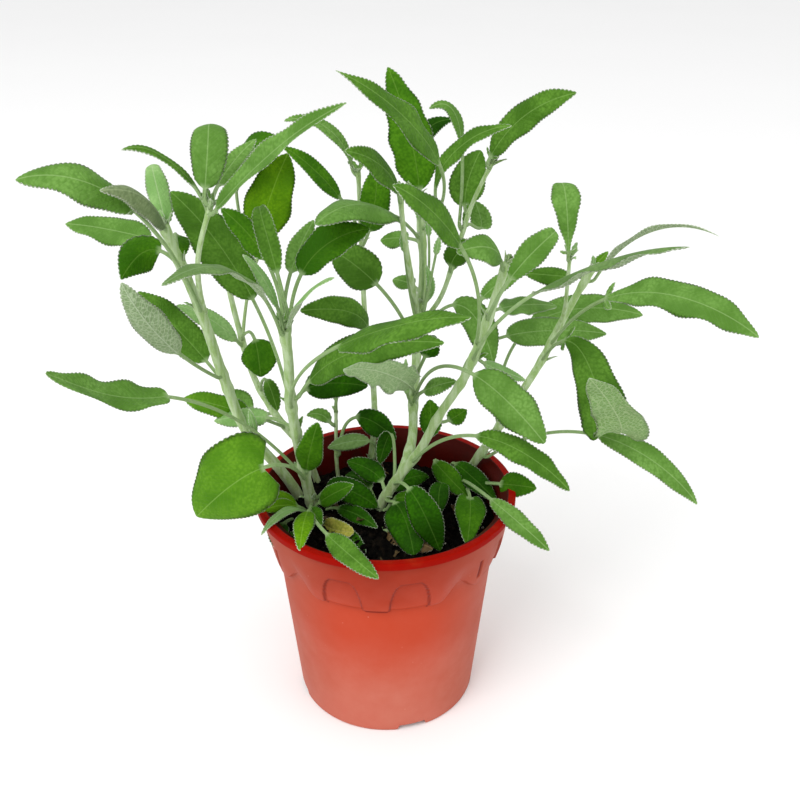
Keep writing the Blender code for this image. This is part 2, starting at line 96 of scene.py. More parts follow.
STEMS = {
    "left": Stem([(-46, 22, 98), (-52, 20, 114), (-60, 17, 130), (-75, 15, 153), (-84, 11, 187),
                  (-90, 2, 225), (-101, -13, 277)], 2.9, 2.2),
    "mid_left": Stem([(-39, 14, 96), (-42, 10, 115), (-45, 4, 142), (-48, -6, 185),
                      (-47, -14, 213), (-48, -18, 231)], 3.0, 2.3),
    "back_left": Stem([(-38, 36, 98), (-42, 37, 114), (-48, 38, 129), (-64, 49, 146),
                       (-76, 62, 161), (-86, 78, 187), (-93, 90, 214)], 2.0, 1.5),
    "shoot": Stem([(-27, 40, 98), (-29, 41, 119), (-29, 44, 135), (-29, 54, 154)], 1.2, 0.8),
    "back": Stem([(-9, 42, 98), (-9, 44, 118), (-7, 49, 138), (-8, 66, 160), (-13, 88, 194),
                  (-14, 93, 225), (-15, 83, 278)], 1.9, 1.2),
    "middle": Stem([(-12, 5, 97), (-6, 4, 108), (4, 1, 128), (18, -2, 151), (28, -5, 174),
                    (40, -8, 197), (50, -10, 228), (58, -10, 258)], 2.7, 2.1),
    "right": Stem([(39, 35, 97), (43, 33, 110), (50, 30, 125), (57, 30, 137), (70, 36, 157),
                   (86, 46, 180), (98, 51, 205), (110, 45, 236)], 2.7, 2.0),
}

TWIGS = {   # each starts inside the stem it grows from
    "left_top": ("left", Stem([(-89, 2, 228), (-88, -10, 245), (-85, -20, 264), (-75, -29, 292)],
                              1.4, 1.1)),
    "back_left_top": ("back_left", Stem([(-84, 74, 179), (-82, 80, 196), (-78, 80, 214),
                                         (-70, 74, 235)], 1.0, 0.8)),
    "centre": ("middle", Stem([(8, 0, 135), (14, 9, 150), (15, 21, 170), (18, 38, 205),
                               (20, 45, 236), (17, 48, 274)], 2.5, 1.9)),
    "centre_left": ("middle", Stem([(18, 41, 208), (13, 29, 240), (9, 18, 270), (8, 14, 284)],
                                   1.5, 1.2)),
    "crown_right": ("middle", Stem([(19, 41, 206), (29, 53, 214), (38, 63, 236), (46, 64, 264),
                                    (56, 61, 288)], 1.3, 1.0)),
    "right_top": ("right", Stem([(94, 50, 196), (96, 42, 211), (95, 32, 230), (94, 26, 249)],
                                1.2, 0.9)),
}

# ---------------------------------------------------------------- leaves (mm)
# A leaf leaves its stem at `height`, heads for `aim` and curves over to its `tip`, both given
# from the stem there.  Its blade starts after `stalk`, is `width` across at the part `widest`
# of its length, and looks towards `face` at its middle.  `fold` lifts its margins, as a part of
# its half-width.  A leaf that changes course or is bent double has a `bend`: where it turns, what
# it heads for then, and what its first half faces.  `ears` is the size of the pair of lobes below
# its blade.  `hook` is how far its end curls back from its face, and `twist` how far the blade
# turns about its midrib, both in degrees.  `heart` is how far the lobes of a heart-shaped blade
# reach back past its foot, and `fullness` makes both ends of the blade blunter the smaller it is.
Leaf = namedtuple("Leaf", "height aim tip stalk width face tone fold widest bend ears hook twist "
                          "heart fullness",
                  defaults=(0.0, 0.42, None, 0.0, 12, 0, 0.0, BLADE_FULLNESS))

FRONT = (0, -3, 1)
FRONT_LEFT = (-1, -2, 1)
FRONT_RIGHT = (1, -2, 1)
UP = (0, -1, 3)
UP_FRONT = (0, -1, 1)
UP_LEFT = (-1, -1, 1)
UP_RIGHT = (1, -1, 1)
BACK_LEFT = (-1, 2, 1)

# leaves that stand for a CAD node of their own
LEAVES = {
    "left": [
        Leaf(231, (-8, -50, 88), (-59, -54, 79), 75, 17, UP_RIGHT, "sage", -0.2, ears=2),
        Leaf(276, (3, -26, 25), (-8, -50, 33), 5, 11, UP_RIGHT, "dusky", -0.7, hook=30),
        Leaf(275, (-4, 10, 17), (-11, 29, 28), 3, 11, UP_FRONT, "silver", -0.2, hook=50, fullness=0.42),
        Leaf(259, (-15, 55, -8), (-72, 59, 0), 47, 17, UP_FRONT, "sage", 0.1),
        Leaf(253, (-20, 20, 14), (-28, -7, -2), 16, 18, FRONT_RIGHT, "deep", -0.3, 0.35, fullness=0.8),
        Leaf(190, (-19, -50, 37), (-31, -52, 69), 44, 16, BACK_LEFT, "grey", 0.5, hook=-20),
        Leaf(181, (-20, 27, 12), (-50, 33, 42), 21, 20, FRONT_RIGHT, "green", 0.1),
    ],
    "left_top": [
        Leaf(289, (-11, 8, 21), (-33, -4, 32), 11, 7.5, UP, "green", hook=50),
        Leaf(291, (4, -8, 35), (-2, 24, 35), 9, 17, UP_FRONT, "sage", -0.2, hook=70, fullness=0.42),
        Leaf(288, (24, -26, 28), (62, -39, 56), 8, 12, UP_LEFT, "sage", 0.5, ears=2),
    ],
    "mid_left": [
        Leaf(179, (-16, 30, 60), (-60, 42, 101), 58, 26, FRONT_RIGHT, "green", 0.1),
        Leaf(229, (-5, 30, 28), (-33, 40, 46), 36, 13, FRONT, "deep", 0.2),
        Leaf(230, (-2, -9, 40), (-12, 18, 58), 30, 11, FRONT, "green", 0.4, hook=60),
        Leaf(226, (-8, -34, 58), (-36, -79, 56), 32, 14, UP, "grey"),
        Leaf(137, (-32, -10, 44), (-101, -69, 91), 92, 18, (0, -1, 2), "sage", 0.3, 0.35,
             bend=((-61, -34, 60), (-85, -53, 65), (0, -1, 2)), fullness=0.45),
        Leaf(132, (-4, -75, 67), (-50, -51, 5), 65, 42, FRONT, "fresh", -0.1, widest=0.24, heart=9),
        Leaf(221, (3, 4, 48), (41, 16, 51), 34, 19, UP_FRONT, "deep", 0.2),
        Leaf(181, (4, -60, 62), (83, -88, 86), 90, 20, UP, "green", -0.1),
        Leaf(185, (22, -20, 42), (76, -29, 44), 18, 20, UP_FRONT, "green"),
        Leaf(114, (14, -10, 22), (38, -12, 1), 13, 15, UP_FRONT, "dark", 0.1),
        Leaf(112, (0, -56, 26), (39, -91, 16), 63, 12, UP_FRONT, "green", 0.1),
    ],
    "back_left_top": [
        Leaf(233, (6, -15, 30), (19, -1, 57), 12, 26, FRONT, "backlit_lime", 0.1),
    ],
    "shoot": [
        Leaf(123, (4, 0, 44), (35, -7, 14), 31, 15, UP_FRONT, "dark"),
    ],
    "back": [
        Leaf(233, (9, -27, 22), (10, -13, 50), 18, 18, FRONT, "deep", 0.1),
        Leaf(275, (-7, -5, 31), (-37, -14, 36), 9, 9, UP_RIGHT, "sage", 0.2, ears=2, hook=45),
        Leaf(240, (-6, -30, 32), (-38, -31, 57), 36, 13, UP_RIGHT, "deep", 0.2),
        Leaf(177, (3, -14, 32), (-36, -28, 32), 15, 17, FRONT_RIGHT, "green"),
    ],
    "middle": [
        Leaf(217, (3, -28, 58), (-41, -45, 91), 68, 16, UP_RIGHT, "green", 0.1),
        Leaf(255, (-3, -15, 21), (-24, -22, 16), 9, 15, UP_RIGHT, "sage", -0.2),
        Leaf(230, (5, -21, 32), (31, -3, 46), 30, 13, FRONT, "sage", 0.2, 0.5, hook=40, fullness=0.45),
        Leaf(209, (10, -41, 58), (81, -58, 79), 64, 14, (0, 1, 3), "grey", -0.3, ears=2),
        Leaf(193, (9, 86, -2), (92, 89, -10), 76, 19, UP_FRONT, "sage"),
        Leaf(146, (27, -35, 56), (78, -37, 3), 52, 13, UP_FRONT, "green", 0.1),
        Leaf(120, (10, -18, 10), (15, -41, -9), 12, 21, UP_FRONT, "dark", fullness=0.45),
        Leaf(131, (7, -30, 24), (23, -36, -21), 24, 17, FRONT, "dark", 0.1),
    ],
    "centre": [
        Leaf(252, (-24, -40, 41), (-50, -65, 29), 30, 25, UP, "sage", -0.2, ears=2),
        Leaf(271, (-2, 9, 34), (-16, 22, 64), 7, 23, FRONT, "deep", 0.1, 0.36, fullness=0.68),
        Leaf(257, (30, -55, 46), (-36, -78, 93), 67, 17, UP_RIGHT, "green", 0.1, 0.36, fullness=0.9),
        Leaf(169, (11, -52, 74), (63, -61, 8), 72, 21, FRONT, "sage"),
        Leaf(172, (-2, -58, 40), (-33, -105, 69), 26, 19, BACK_LEFT, "sage"),
        Leaf(192, (-9, -31, 48), (-44, -2, 59), 54, 22, FRONT, "green", 0.1),
    ],
    "centre_left": [
        Leaf(281, (-2, -12, 21), (-24, -28, 31), 9, 15, UP_RIGHT, "green"),
    ],
    "crown_right": [
        Leaf(243, (-35, -30, 50), (21, -31, 73), 44, 11, UP_LEFT, "green", 0.2, hook=30),
        Leaf(285, (9, -9, 32), (37, -26, 43), 8, 16, FRONT_LEFT, "green", 0.1, ears=2),
    ],
    "right": [
        Leaf(228, (21, -12, 43), (57, -34, 38), 14, 10, (0, 0, 1), "grey", 0.4, 0.3, twist=40, fullness=0.9),
        Leaf(191, (23, -45, 72), (88, -71, 35), 53, 19, UP_FRONT, "sage", 0.1, 0.5, ears=4),
        Leaf(182, (14, -24, 44), (8, -88, 36), 26, 27, (0, 1, 2), "green", widest=0.5,
             bend=((27, -54, -14), (44, -66, -20), (-1, -3, 1)), ears=4),
        Leaf(131, (56, -26, 56), (116, -36, -11), 71, 14, UP_FRONT, "sage", 0.1),
        Leaf(148, (3, 83, 52), (93, 75, 36), 76, 21, UP_FRONT, "sage"),
        Leaf(113, (-4, -62, 41), (40, -75, 3), 62, 11, UP_FRONT, "sage", 0.1),
    ],
    "right_top": [
        Leaf(247, (-5, -17, 29), (-6, 7, 44), 8, 14.5, FRONT, "sage", 0.1, 0.68, ears=2, hook=60),
    ],
}

# smaller leaves, which have no CAD node
SMALL_LEAVES = {
    "left": [
        Leaf(257, (-15, 58, 8), (-13, 58, -19), 48, 15, FRONT, "deep"),
        Leaf(150, (4, -8, 10), (2, -10, 22), 5, 5, FRONT, "silver"),
        Leaf(146, (2, -7, 8), (-2, -9, 15), 4, 4, FRONT, "silver"),
    ],
    "left_top": [
        Leaf(290, (0, 26, 8), (16, 45, 21), 16, 10, UP_FRONT, "sage", 0.1),
    ],
    "mid_left": [
        Leaf(229, (-1, -10, 22), (-12, -24, 44), 18, 8, UP_RIGHT, "silver"),
        Leaf(228, (5, -14, 20), (26, -30, 38), 6, 12, UP, "silver"),
        Leaf(227, (-4, 38, 14), (12, 50, 39), 36, 12, FRONT, "sage"),
        Leaf(178, (8, 18, 10), (39, 28, -2), 13, 18, FRONT, "dark"),
        Leaf(161, (-16, 18, 4), (-47, 19, -3), 20, 12, UP_FRONT, "silver", -0.3),
        Leaf(135, (3, -14, 14), (10, -16, 37), 7, 15, FRONT, "deep"),
        Leaf(108, (2, -18, 14), (24, -26, 30), 19, 12, UP_FRONT, "deep"),
        Leaf(106, (8, -30, 4), (24, -36, 9), 20, 12, UP_FRONT, "yellow", 0.3, fullness=0.4),
        Leaf(105, (-8, -22, 22), (-24, -38, 24), 22, 9, UP_FRONT, "backlit_lime"),
        Leaf(104, (0, -36, 34), (-1, -70, 24), 40, 11, UP_FRONT, "backlit_lime"),
        Leaf(103, (14, -24, 10), (30, -48, 7), 28, 9, UP_FRONT, "dark"),
        Leaf(102, (-12, -22, 30), (-28, -35, 27), 22, 13, UP_FRONT, "backlit_lime"),
        Leaf(101, (-18, -22, 16), (-17, -45, 10), 30, 11, UP_FRONT, "dark"),
        Leaf(101, (-8, -30, 14), (-11, -46, 10), 34, 8, UP_FRONT, "dark"),
        Leaf(104, (16, -14, 16), (36, -34, 12), 20, 10, UP_FRONT, "dark"),
        Leaf(107, (-2, -20, 18), (8, -38, 14), 22, 9, UP_FRONT, "deep"),
        Leaf(101, (-8, -30, 34), (-22, -57, 27), 22, 7, UP, "silver"),
    ],
    "back_left": [
        Leaf(181, (17, -50, 36), (17, -50, 0), 48, 20, FRONT, "deep"),
        Leaf(178, (-10, -6, 18), (-36, -2, 27), 6, 13, UP_RIGHT, "silver"),
        Leaf(156, (6, -20, 28), (12, -23, -1), 22, 9, FRONT, "green", 0.1),
        Leaf(147, (-15, 6, -4), (-29, 14, 7), 14, 14, FRONT, "sage"),
        Leaf(140, (-22, -28, 27), (-53, -17, 28), 28, 15, UP_FRONT, "fresh"),
    ],
    "back_left_top": [
        Leaf(228, (-18, -18, 78), (22, -15, 71), 45, 18, UP_LEFT, "deep"),
    ],
    "shoot": [
        Leaf(147, (0, 0, 22), (18, -1, 21), 12, 9, FRONT, "dark"),
        Leaf(140, (-7, 1, 10), (-17, 1, 6), 4, 8, UP_FRONT, "sage"),
    ],
    "back": [
        Leaf(119, (10, -14, 28), (-25, -8, 12), 22, 10, UP_FRONT, "grey"),
    ],
    "middle": [
        Leaf(230, (-12, 40, -8), (32, 48, 15), 28, 10, UP_FRONT, "sage"),
        Leaf(228, (6, 44, -8), (48, 78, -22), 34, 12, UP_FRONT, "sage"),
        Leaf(207, (4, 20, -12), (33, 35, -28), 20, 9, UP_FRONT, "silver"),
        Leaf(171, (0, 20, -18), (18, 31, -10), 27, 10, UP_FRONT, "deep"),
        Leaf(122, (-4, 8, 10), (-23, 20, 9), 6, 13, UP_FRONT, "dark"),
        Leaf(112, (-8, 14, 14), (-20, 24, 6), 10, 11, UP_FRONT, "dark"),
        Leaf(110, (14, 12, 18), (30, 22, 8), 14, 12, UP_FRONT, "dark"),
        Leaf(113, (10, -4, 16), (26, -14, 8), 12, 9, UP_FRONT, "deep"),
        Leaf(130, (0, 46, 26), (-9, 23, -3), 30, 10, FRONT, "dark", 0.1),
        Leaf(104, (8, -30, 12), (33, -40, 9), 24, 12, UP, "dead", -0.3, fullness=0.4),
    ],
    "centre": [
        Leaf(271, (-6, 44, 32), (20, 44, 33), 32, 11, UP_FRONT, "dark"),
        Leaf(248, (-8, 16, 0), (-23, 24, -5), 14, 12, UP_FRONT, "sage"),
        Leaf(221, (-4, 16, 2), (-16, 26, 0), 13, 11, UP_FRONT, "sage"),
        Leaf(217, (8, -12, 10), (2, -12, 26), 8, 5, FRONT, "silver"),
        Leaf(213, (6, -6, 24), (3, -8, 54), 46, 4, FRONT, "silver"),
        Leaf(209, (-7, -6, 22), (-9, -8, 52), 42, 5, FRONT, "silver"),
        Leaf(219, (2, -10, 26), (-3, -14, 58), 50, 4, FRONT, "silver"),
        Leaf(200, (5, -8, 30), (10, -12, 60), 52, 4, FRONT, "silver"),
        Leaf(205, (26, 2, 32), (40, -13, -16), 22, 18, UP_FRONT, "sage"),
        Leaf(180, (5, -25, 25), (10, -16, 32), 26, 12, FRONT, "dark"),
        Leaf(169, (4, -20, 18), (21, -26, 25), 20, 10, UP_FRONT, "sage"),
        Leaf(167, (-5, -16, 14), (-4, -9, 32), 15, 5, FRONT, "silver"),
        Leaf(146, (14, 4, 4), (11, 16, 23), 14, 13, FRONT, "deep"),
    ],
    "crown_right": [
        Leaf(259, (-3, 9, 14), (7, 16, 31), 5, 20, FRONT, "green"),
        Leaf(253, (16, 18, -14), (7, 26, 6), 16, 13, FRONT, "sage"),
        Leaf(250, (4, 14, 76), (-19, 4, 64), 45, 9, UP_RIGHT, "sage", ears=2),
        Leaf(228, (1, -6, 14), (11, -11, 20), 5, 14, FRONT, "green"),
    ],
    "right": [
        Leaf(234, (4, 6, 2), (11, 12, 7), 3, 6, UP_FRONT, "fresh"),
        Leaf(226, (-2, 20, -4), (-28, 30, -5), 18, 12, UP_FRONT, "green"),
        Leaf(112, (14, -34, 20), (37, -38, 18), 38, 15, UP_FRONT, "deep", 0.1, 0.35),
        Leaf(112, (-32, -2, 30), (2, -26, 4), 26, 13, UP_FRONT, "deep"),
        Leaf(111, (-14, 0, 26), (17, -32, 7), 20, 13, UP_FRONT, "dark"),
        Leaf(110, (-16, -20, 20), (-14, -42, 6), 24, 12, UP_FRONT, "dark"),
        Leaf(109, (6, -36, 24), (0, -64, 3), 38, 17, UP_FRONT, "deep", 0.25, 0.3, heart=4),
    ],
}

# ---------------------------------------------------------------- colours (sRGB, 0 to 255)
# `down` says how woolly a leaf is: it sets how much white light its skin gives back.
Tone = namedtuple("Tone", "light dark vein under down")

TONES = {
    "sage": Tone((110, 153, 70), (77, 120, 38), (150, 182, 116), (122, 154, 98), 0.7),
    "green": Tone((89, 134, 42), (58, 100, 16), (126, 164, 84), (114, 150, 84), 0.5),
    "deep": Tone((74, 124, 18), (45, 92, 5), (104, 142, 56), (98, 134, 66), 0.15),
    "dark": Tone((46, 99, 3), (25, 64, 1), (84, 124, 46), (72, 104, 44), 0.1),
    "silver": Tone((144, 182, 113), (113, 157, 83), (172, 194, 148), (152, 174, 134), 1.0),
    "grey": Tone((112, 144, 82), (83, 116, 56), (142, 168, 120), (126, 148, 106), 0.8),
    # painted light: the bright yellow-green of leaves lit through from behind
    "backlit_lime": Tone((100, 147, 14), (70, 116, 4), (134, 174, 64), (108, 140, 60), 0.15),
    "fresh": Tone((94, 142, 30), (67, 116, 13), (134, 170, 84), (112, 142, 80), 0.3),
    "yellow": Tone((176, 170, 76), (118, 128, 42), (176, 170, 100), (140, 138, 80), 0.3),
    "dusky": Tone((124, 142, 98), (90, 110, 70), (160, 176, 134), (124, 148, 98), 0.8),
    "dead": Tone((118, 98, 64), (74, 58, 34), (134, 116, 82), (104, 88, 58), 0.2),
}
STALK_PALE = (152, 174, 130)
STALK_GREEN = (112, 146, 76)
STEM_PALE = (174, 195, 150)
STEM_GREEN = (142, 172, 104)
WOOD_BROWN = (106, 98, 68)
HAIR_WHITE = (206, 214, 194)

POT_RED = (151, 42, 17)
POT_ORANGE = (182, 60, 30)
POT_DUSTY = (187, 97, 78)
# duller red for the flanks: dust and painted shade
POT_FLANK_DUST_AND_SHADE = (158, 70, 49)
POT_LIP = (142, 10, 1)
# darker red painted in as the shade inside the pot
POT_INSIDE = (72, 6, 1)
# painted shade for the shoulder's moulded corners, arch outlines and narrow recesses
POT_CORNER_SHADE = (112, 22, 8)
DUST_PALE = (206, 146, 128)

PEAT_BLACK = (7, 6, 5)
PEAT_BROWN = (34, 27, 20)
PERLITE_WHITE = (190, 186, 178)
PERLITE_GREY = (160, 156, 146)
DEAD_LEAF = (84, 68, 40)
DEAD_LEAF_DARK = (60, 46, 28)


def linear(colour):
    """A colour given in sRGB as a linear RGBA value."""
    parts = []
    for level in colour:
        share = level / 255
        parts.append(share / 12.92 if share <= 0.04045 else ((share + 0.055) / 1.055) ** 2.4)
    return (*parts, 1.0)


# ---------------------------------------------------------------- material building
class Surface:
    """A procedural material, built node by node."""

    def __init__(self, name, roughness, specular):
        self.material = bpy.data.materials.new(name)
        self.material.use_nodes = True
        self.tree = self.material.node_tree
        self.shader = self.tree.nodes["Principled BSDF"]
        self.set("Roughness", roughness)
        self.set("Specular IOR Level", specular)

    def set(self, socket, value):
        self.shader.inputs[socket].default_value = value

    def link(self, output, socket):
        self.tree.links.new(output, self.shader.inputs[socket])

    def plug(self, node, socket, value):
        """Gives an input of a node a number, a colour, or another node's output."""
        if isinstance(value, bpy.types.NodeSocket):
            self.tree.links.new(value, node.inputs[socket])
        else:
            node.inputs[socket].default_value = value

    def maths(self, operation, *values):
        node = self.tree.nodes.new("ShaderNodeMath")
        node.operation = operation
        for socket, value in enumerate(values):
            self.plug(node, socket, value)
        return node.outputs[0]

    def times(self, first, second):
        return self.maths("MULTIPLY", first, second)

    def ramp(self, value, low, high, start=0.0, end=1.0):
        """Maps low..high of a value smoothly to start..end."""
        node = self.tree.nodes.new("ShaderNodeMapRange")
        node.interpolation_type = "SMOOTHSTEP"
        for socket, number in zip(("Value", "From Min", "From Max", "To Min", "To Max"),
                                  (value, low, high, start, end)):
            self.plug(node, socket, number)
        return node.outputs["Result"]

    def mix(self, share, *colours):
        """Blends two colours, each given in sRGB or as another node's output."""
        node = self.tree.nodes.new("ShaderNodeMix")
        node.data_type = "RGBA"
        self.plug(node, 0, share)
        for socket, colour in zip((6, 7), colours):
            self.plug(node, socket, linear(colour) if isinstance(colour, tuple) else colour)
        return node.outputs[2]

    def place(self, stretch=(1, 1, 1)):
        """The place on the object in metres, stretched along its axes."""
        coordinates = self.tree.nodes.new("ShaderNodeTexCoord")
        mapping = self.tree.nodes.new("ShaderNodeMapping")
        mapping.inputs["Scale"].default_value = stretch
        self.tree.links.new(coordinates.outputs["Object"], mapping.inputs["Vector"])
        return mapping.outputs["Vector"]

    def split(self, vector):
        node = self.tree.nodes.new("ShaderNodeSeparateXYZ")
        self.tree.links.new(vector, node.inputs[0])
        return node.outputs

    def layer(self, name):
        """The coordinates of a UV layer."""
        layer = self.tree.nodes.new("ShaderNodeUVMap")
        layer.uv_map = name
        return self.split(layer.outputs["UV"])

    def noise(self, size, detail=2.0, stretch=(1, 1, 1), roughness=0.5):
        """Cloudy noise whose patches are about `size` metres across."""
        node = self.tree.nodes.new("ShaderNodeTexNoise")
        self.plug(node, "Vector", self.place(stretch))
        self.plug(node, "Scale", 1 / size)
        self.plug(node, "Detail", detail)
        self.plug(node, "Roughness", roughness)
        return node.outputs["Fac"]

    def cells(self, size, feature="F1"):
        """Distances in a pattern of cells about `size` metres across."""
        node = self.tree.nodes.new("ShaderNodeTexVoronoi")
        node.feature = feature
        self.plug(node, "Vector", self.place())
        self.plug(node, "Scale", 1 / size)
        return node.outputs["Distance"]

    def specks(self, size, reach, field_size, field):
        """Small dots, 0 to 1, that lie only where a coarser noise is high."""
        dots = self.ramp(self.cells(size), *reach, 1.0, 0.0)
        return self.times(dots, self.ramp(self.noise(field_size), *field))

    def bump(self, height, depth, strength):
        """Relief of `depth` metres over a height of 0 to 1."""
        node = self.tree.nodes.new("ShaderNodeBump")
        self.plug(node, "Strength", strength)
        self.plug(node, "Distance", depth)
        self.plug(node, "Height", height)
        self.link(node.outputs["Normal"], "Normal")

    def down(self, weight, roughness, tint=HAIR_WHITE):
        """A nap of fine hairs."""
        self.set("Sheen Weight", weight)
        self.set("Sheen Roughness", roughness)
        self.set("Sheen Tint", linear(tint))


# ---------------------------------------------------------------- looks of the leaves and stems
# on the pot, the span layer's first value holds the painted shade of its shoulder instead
SPAN = "span"               # UV layer: across and along a leaf, in units of 100 mm
EDGE = "edge"               # UV layer: distance from the margin, in the same units
LEAF_UNIT = 100.0
VEIN_PITCH = 3.0            # between lateral veins, along the midrib (mm)
VEIN_SLANT = 0.85           # how far a vein runs towards the tip for each mm outwards
VEIN_CURVE = 0.035
MIDRIB_REACH = (0.1, 0.42)  # where the colour of a midrib and of a vein fades out (mm)
VEIN_REACH = (0.05, 0.5)
STALK_END = 3.0             # how far a stalk's pale colour runs into its blade (mm)
STALK_SIDE = (1.5, 2.4)     # and how far to its sides
MARGIN_REACH = (0.15, 0.55)     # where the hairs of the margin thin out (mm)

PEBBLE_SIZE = 0.0013        # bulges between the finest veins (m)
NET_SIZE = 0.0021           # meshes of the net of veins on an underside (m)
LEAF_PATCH_SIZE = 0.016     # patches of lighter and darker green (m)
STALK_PATCH_SIZE = 0.004
HAIR_PATCH_SIZE = 0.0007
LEAF_GRAIN_SIZE = 0.0004
LEAF_RELIEF = 0.0004        # (m)

STREAK_SIZE = 0.0022        # streaks along a stem (m)
STREAK_STRETCH = (1, 1, 0.12)
WOOL_SIZE = 0.0005
WOODY_PATCH_SIZE = 0.006
WOODY_HEIGHTS = (0.108, 0.15)   # heights between which a stem's brown foot turns green (m)
STEM_RELIEF = 0.00015

# how strongly a side shows its midrib and veins, how far they stand out, and how woolly it is
Side = namedtuple("Side", "midrib vein relief wool")
UPPER_SIDE = Side(0.42, 0.04, -0.25, 0.06)
UNDERSIDE = Side(0.75, 0.35, 0.6, 0.15)


def vein_nodes(surface):
    """Nearness to the midrib and to the lateral veins, 0 to 1, and how far a spot is blade."""
    across, along, _ = surface.layer(SPAN)
    out = surface.times(surface.maths("ABSOLUTE", across), LEAF_UNIT)
    slant = surface.times(out, surface.maths("MULTIPLY_ADD", out, VEIN_CURVE, VEIN_SLANT))
    behind = surface.maths("SUBTRACT", surface.times(along, LEAF_UNIT), slant)
    near = surface.maths("PINGPONG", behind, VEIN_PITCH / 2)
    midrib = surface.ramp(out, *MIDRIB_REACH, 1.0, 0.0)
    lateral = surface.ramp(near, *VEIN_REACH, 1.0, 0.0)
    bladed = surface.maths("MAXIMUM", surface.ramp(along, 0.0, STALK_END / LEAF_UNIT),
                           surface.ramp(out, *STALK_SIDE))
    return midrib, lateral, bladed


def upper_green(surface, tone, patches, pebbles):
    """The upper side: two greens in patches, with painted shade in the hollows between its pebbles."""
    green = surface.mix(surface.ramp(patches, 0.32, 0.68), tone.dark, tone.light)
    # painted shade: darker green in the hollows between the pebbles
    return surface.mix(surface.ramp(pebbles, 0.2, 0.7, 0.0, 0.65), green, tone.dark)


def under_green(surface, tone, patches, vein):
    """The underside: paler and more even, with a fine net of veins."""
    green = surface.mix(surface.ramp(patches, 0.35, 0.65, 0.8, 1.0), tone.dark, tone.under)
    net = surface.ramp(surface.cells(NET_SIZE, "DISTANCE_TO_EDGE"), 0.02, 0.14, 0.55, 0.0)
    return surface.mix(net, green, vein)


def leaf_material(name, tone, side):
    """Felted leaf: mottled green, pebbled between its veins, pale along its ribs and margin."""
    surface = Surface(name, 0.6, 0.03 + 0.15 * tone.down)
    midrib, lateral, bladed = vein_nodes(surface)
    margin = surface.times(surface.layer(EDGE)[0], LEAF_UNIT)
    pebbles = surface.cells(PEBBLE_SIZE, "SMOOTH_F1")
    patches = surface.noise(LEAF_PATCH_SIZE, 3.0)
    vein = tone.vein
    if side is UNDERSIDE:
        vein = tuple((shade + white) / 2 for shade, white in zip(vein, HAIR_WHITE))
        green = under_green(surface, tone, patches, vein)
    else:
        green = upper_green(surface, tone, patches, pebbles)
    veined = surface.maths("MAXIMUM", surface.times(midrib, side.midrib),
                           surface.times(lateral, side.vein))
    green = surface.mix(veined, green, vein)
    hairs = surface.times(surface.ramp(margin, *MARGIN_REACH, 0.8, 0.0),
                          surface.ramp(surface.noise(HAIR_PATCH_SIZE), 0.3, 0.6))
    green = surface.mix(hairs, green, HAIR_WHITE)
    stalk = surface.mix(surface.noise(STALK_PATCH_SIZE), STALK_GREEN, STALK_PALE)
    surface.link(surface.mix(bladed, stalk, green), "Base Color")
    grain = surface.maths("MULTIPLY_ADD", surface.noise(LEAF_GRAIN_SIZE), 0.35, pebbles)
    furrows = surface.maths("MAXIMUM", midrib, lateral)
    grain = surface.maths("MULTIPLY_ADD", furrows, side.relief, grain)
    surface.bump(grain, LEAF_RELIEF, 0.8)
    surface.link(surface.ramp(patches, 0.2, 0.8, 0.52, 0.7), "Roughness")
    surface.down(side.wool * tone.down, 0.4)
    return surface.material


def stem_material():
    """Pale downy stem: streaked along its length and browner near the soil."""
    surface = Surface("stem_down", 0.75, 0.25)
    streaks = surface.noise(STREAK_SIZE, 3.0, STREAK_STRETCH)
    green = surface.mix(surface.ramp(streaks, 0.35, 0.65), STEM_GREEN, STEM_PALE)
    height = surface.split(surface.place())[2]
    old = surface.times(surface.ramp(height, *WOODY_HEIGHTS, 0.45, 0.0),
                        surface.ramp(surface.noise(WOODY_PATCH_SIZE), 0.3, 0.6))
    green = surface.mix(old, green, WOOD_BROWN)
    wool = surface.noise(WOOL_SIZE)
    green = surface.mix(surface.ramp(wool, 0.5, 0.75, 0.0, 0.3), green, HAIR_WHITE)
    surface.link(green, "Base Color")
    surface.bump(surface.maths("ADD", wool, streaks), STEM_RELIEF, 0.4)
    surface.down(0.4, 0.4)
    return surface.material


# ---------------------------------------------------------------- looks of the pot, peat and floor
CLOUD_SIZE = 0.03           # mottling of the plastic (m)
CLOUD_DRIFT = 0.02          # how far the mottling shifts a change of colour (m)
ORANGE_HEIGHTS = (0.026, 0.087)     # heights over which dusty turns orange, and orange red (m)
RED_HEIGHTS = (0.09, 0.125)
FLANK_REACH = (0.028, 0.066)        # distances to the sides over which the flanks turn duller (m)
FLANK_SHARE = 0.75
FILM_SIZE = 0.016           # patches of the film of dust (m)
FILM_HEIGHTS = (0.02, 0.075)        # it thins out over these heights, from its lower share
FILM_SHARES = (0.17, 0.03)          # to its upper one
CORNER_SHADE_SHARE = 0.9
SPECK_SIZE = 0.005
SPECK_FIELD_SIZE = 0.02
PLASTIC_GRAIN_SIZE = 0.0006
PLASTIC_WAVE_SIZE = 0.006
PLASTIC_RELIEF = 0.00012

LIP_WEAR_SIZE = 0.01
LIP_CRUMB_SIZE = 0.004
LIP_CRUMB_FIELD_SIZE = 0.012
LIP_RELIEF = 0.0002
INSIDE_DIRT_SIZE = 0.008
INSIDE_DIRT_HEIGHTS = (0.108, 0.12)     # the dirt thins out above the soil (m)
INSIDE_GRAIN_SIZE = 0.0009
INSIDE_RELIEF = 0.0001
PEAT_CRUMB_SIZE = 0.0035
PEAT_RELIEF = 0.0015
PERLITE_PATCH_SIZE = 0.002
LITTER_PATCH_SIZE = 0.004
FLOOR_PATCH_SIZE = 0.6
FLOOR_SHADE = 0.93          # the floor's darkest white, and how much lighter its lightest is
FLOOR_MOTTLE = 0.02


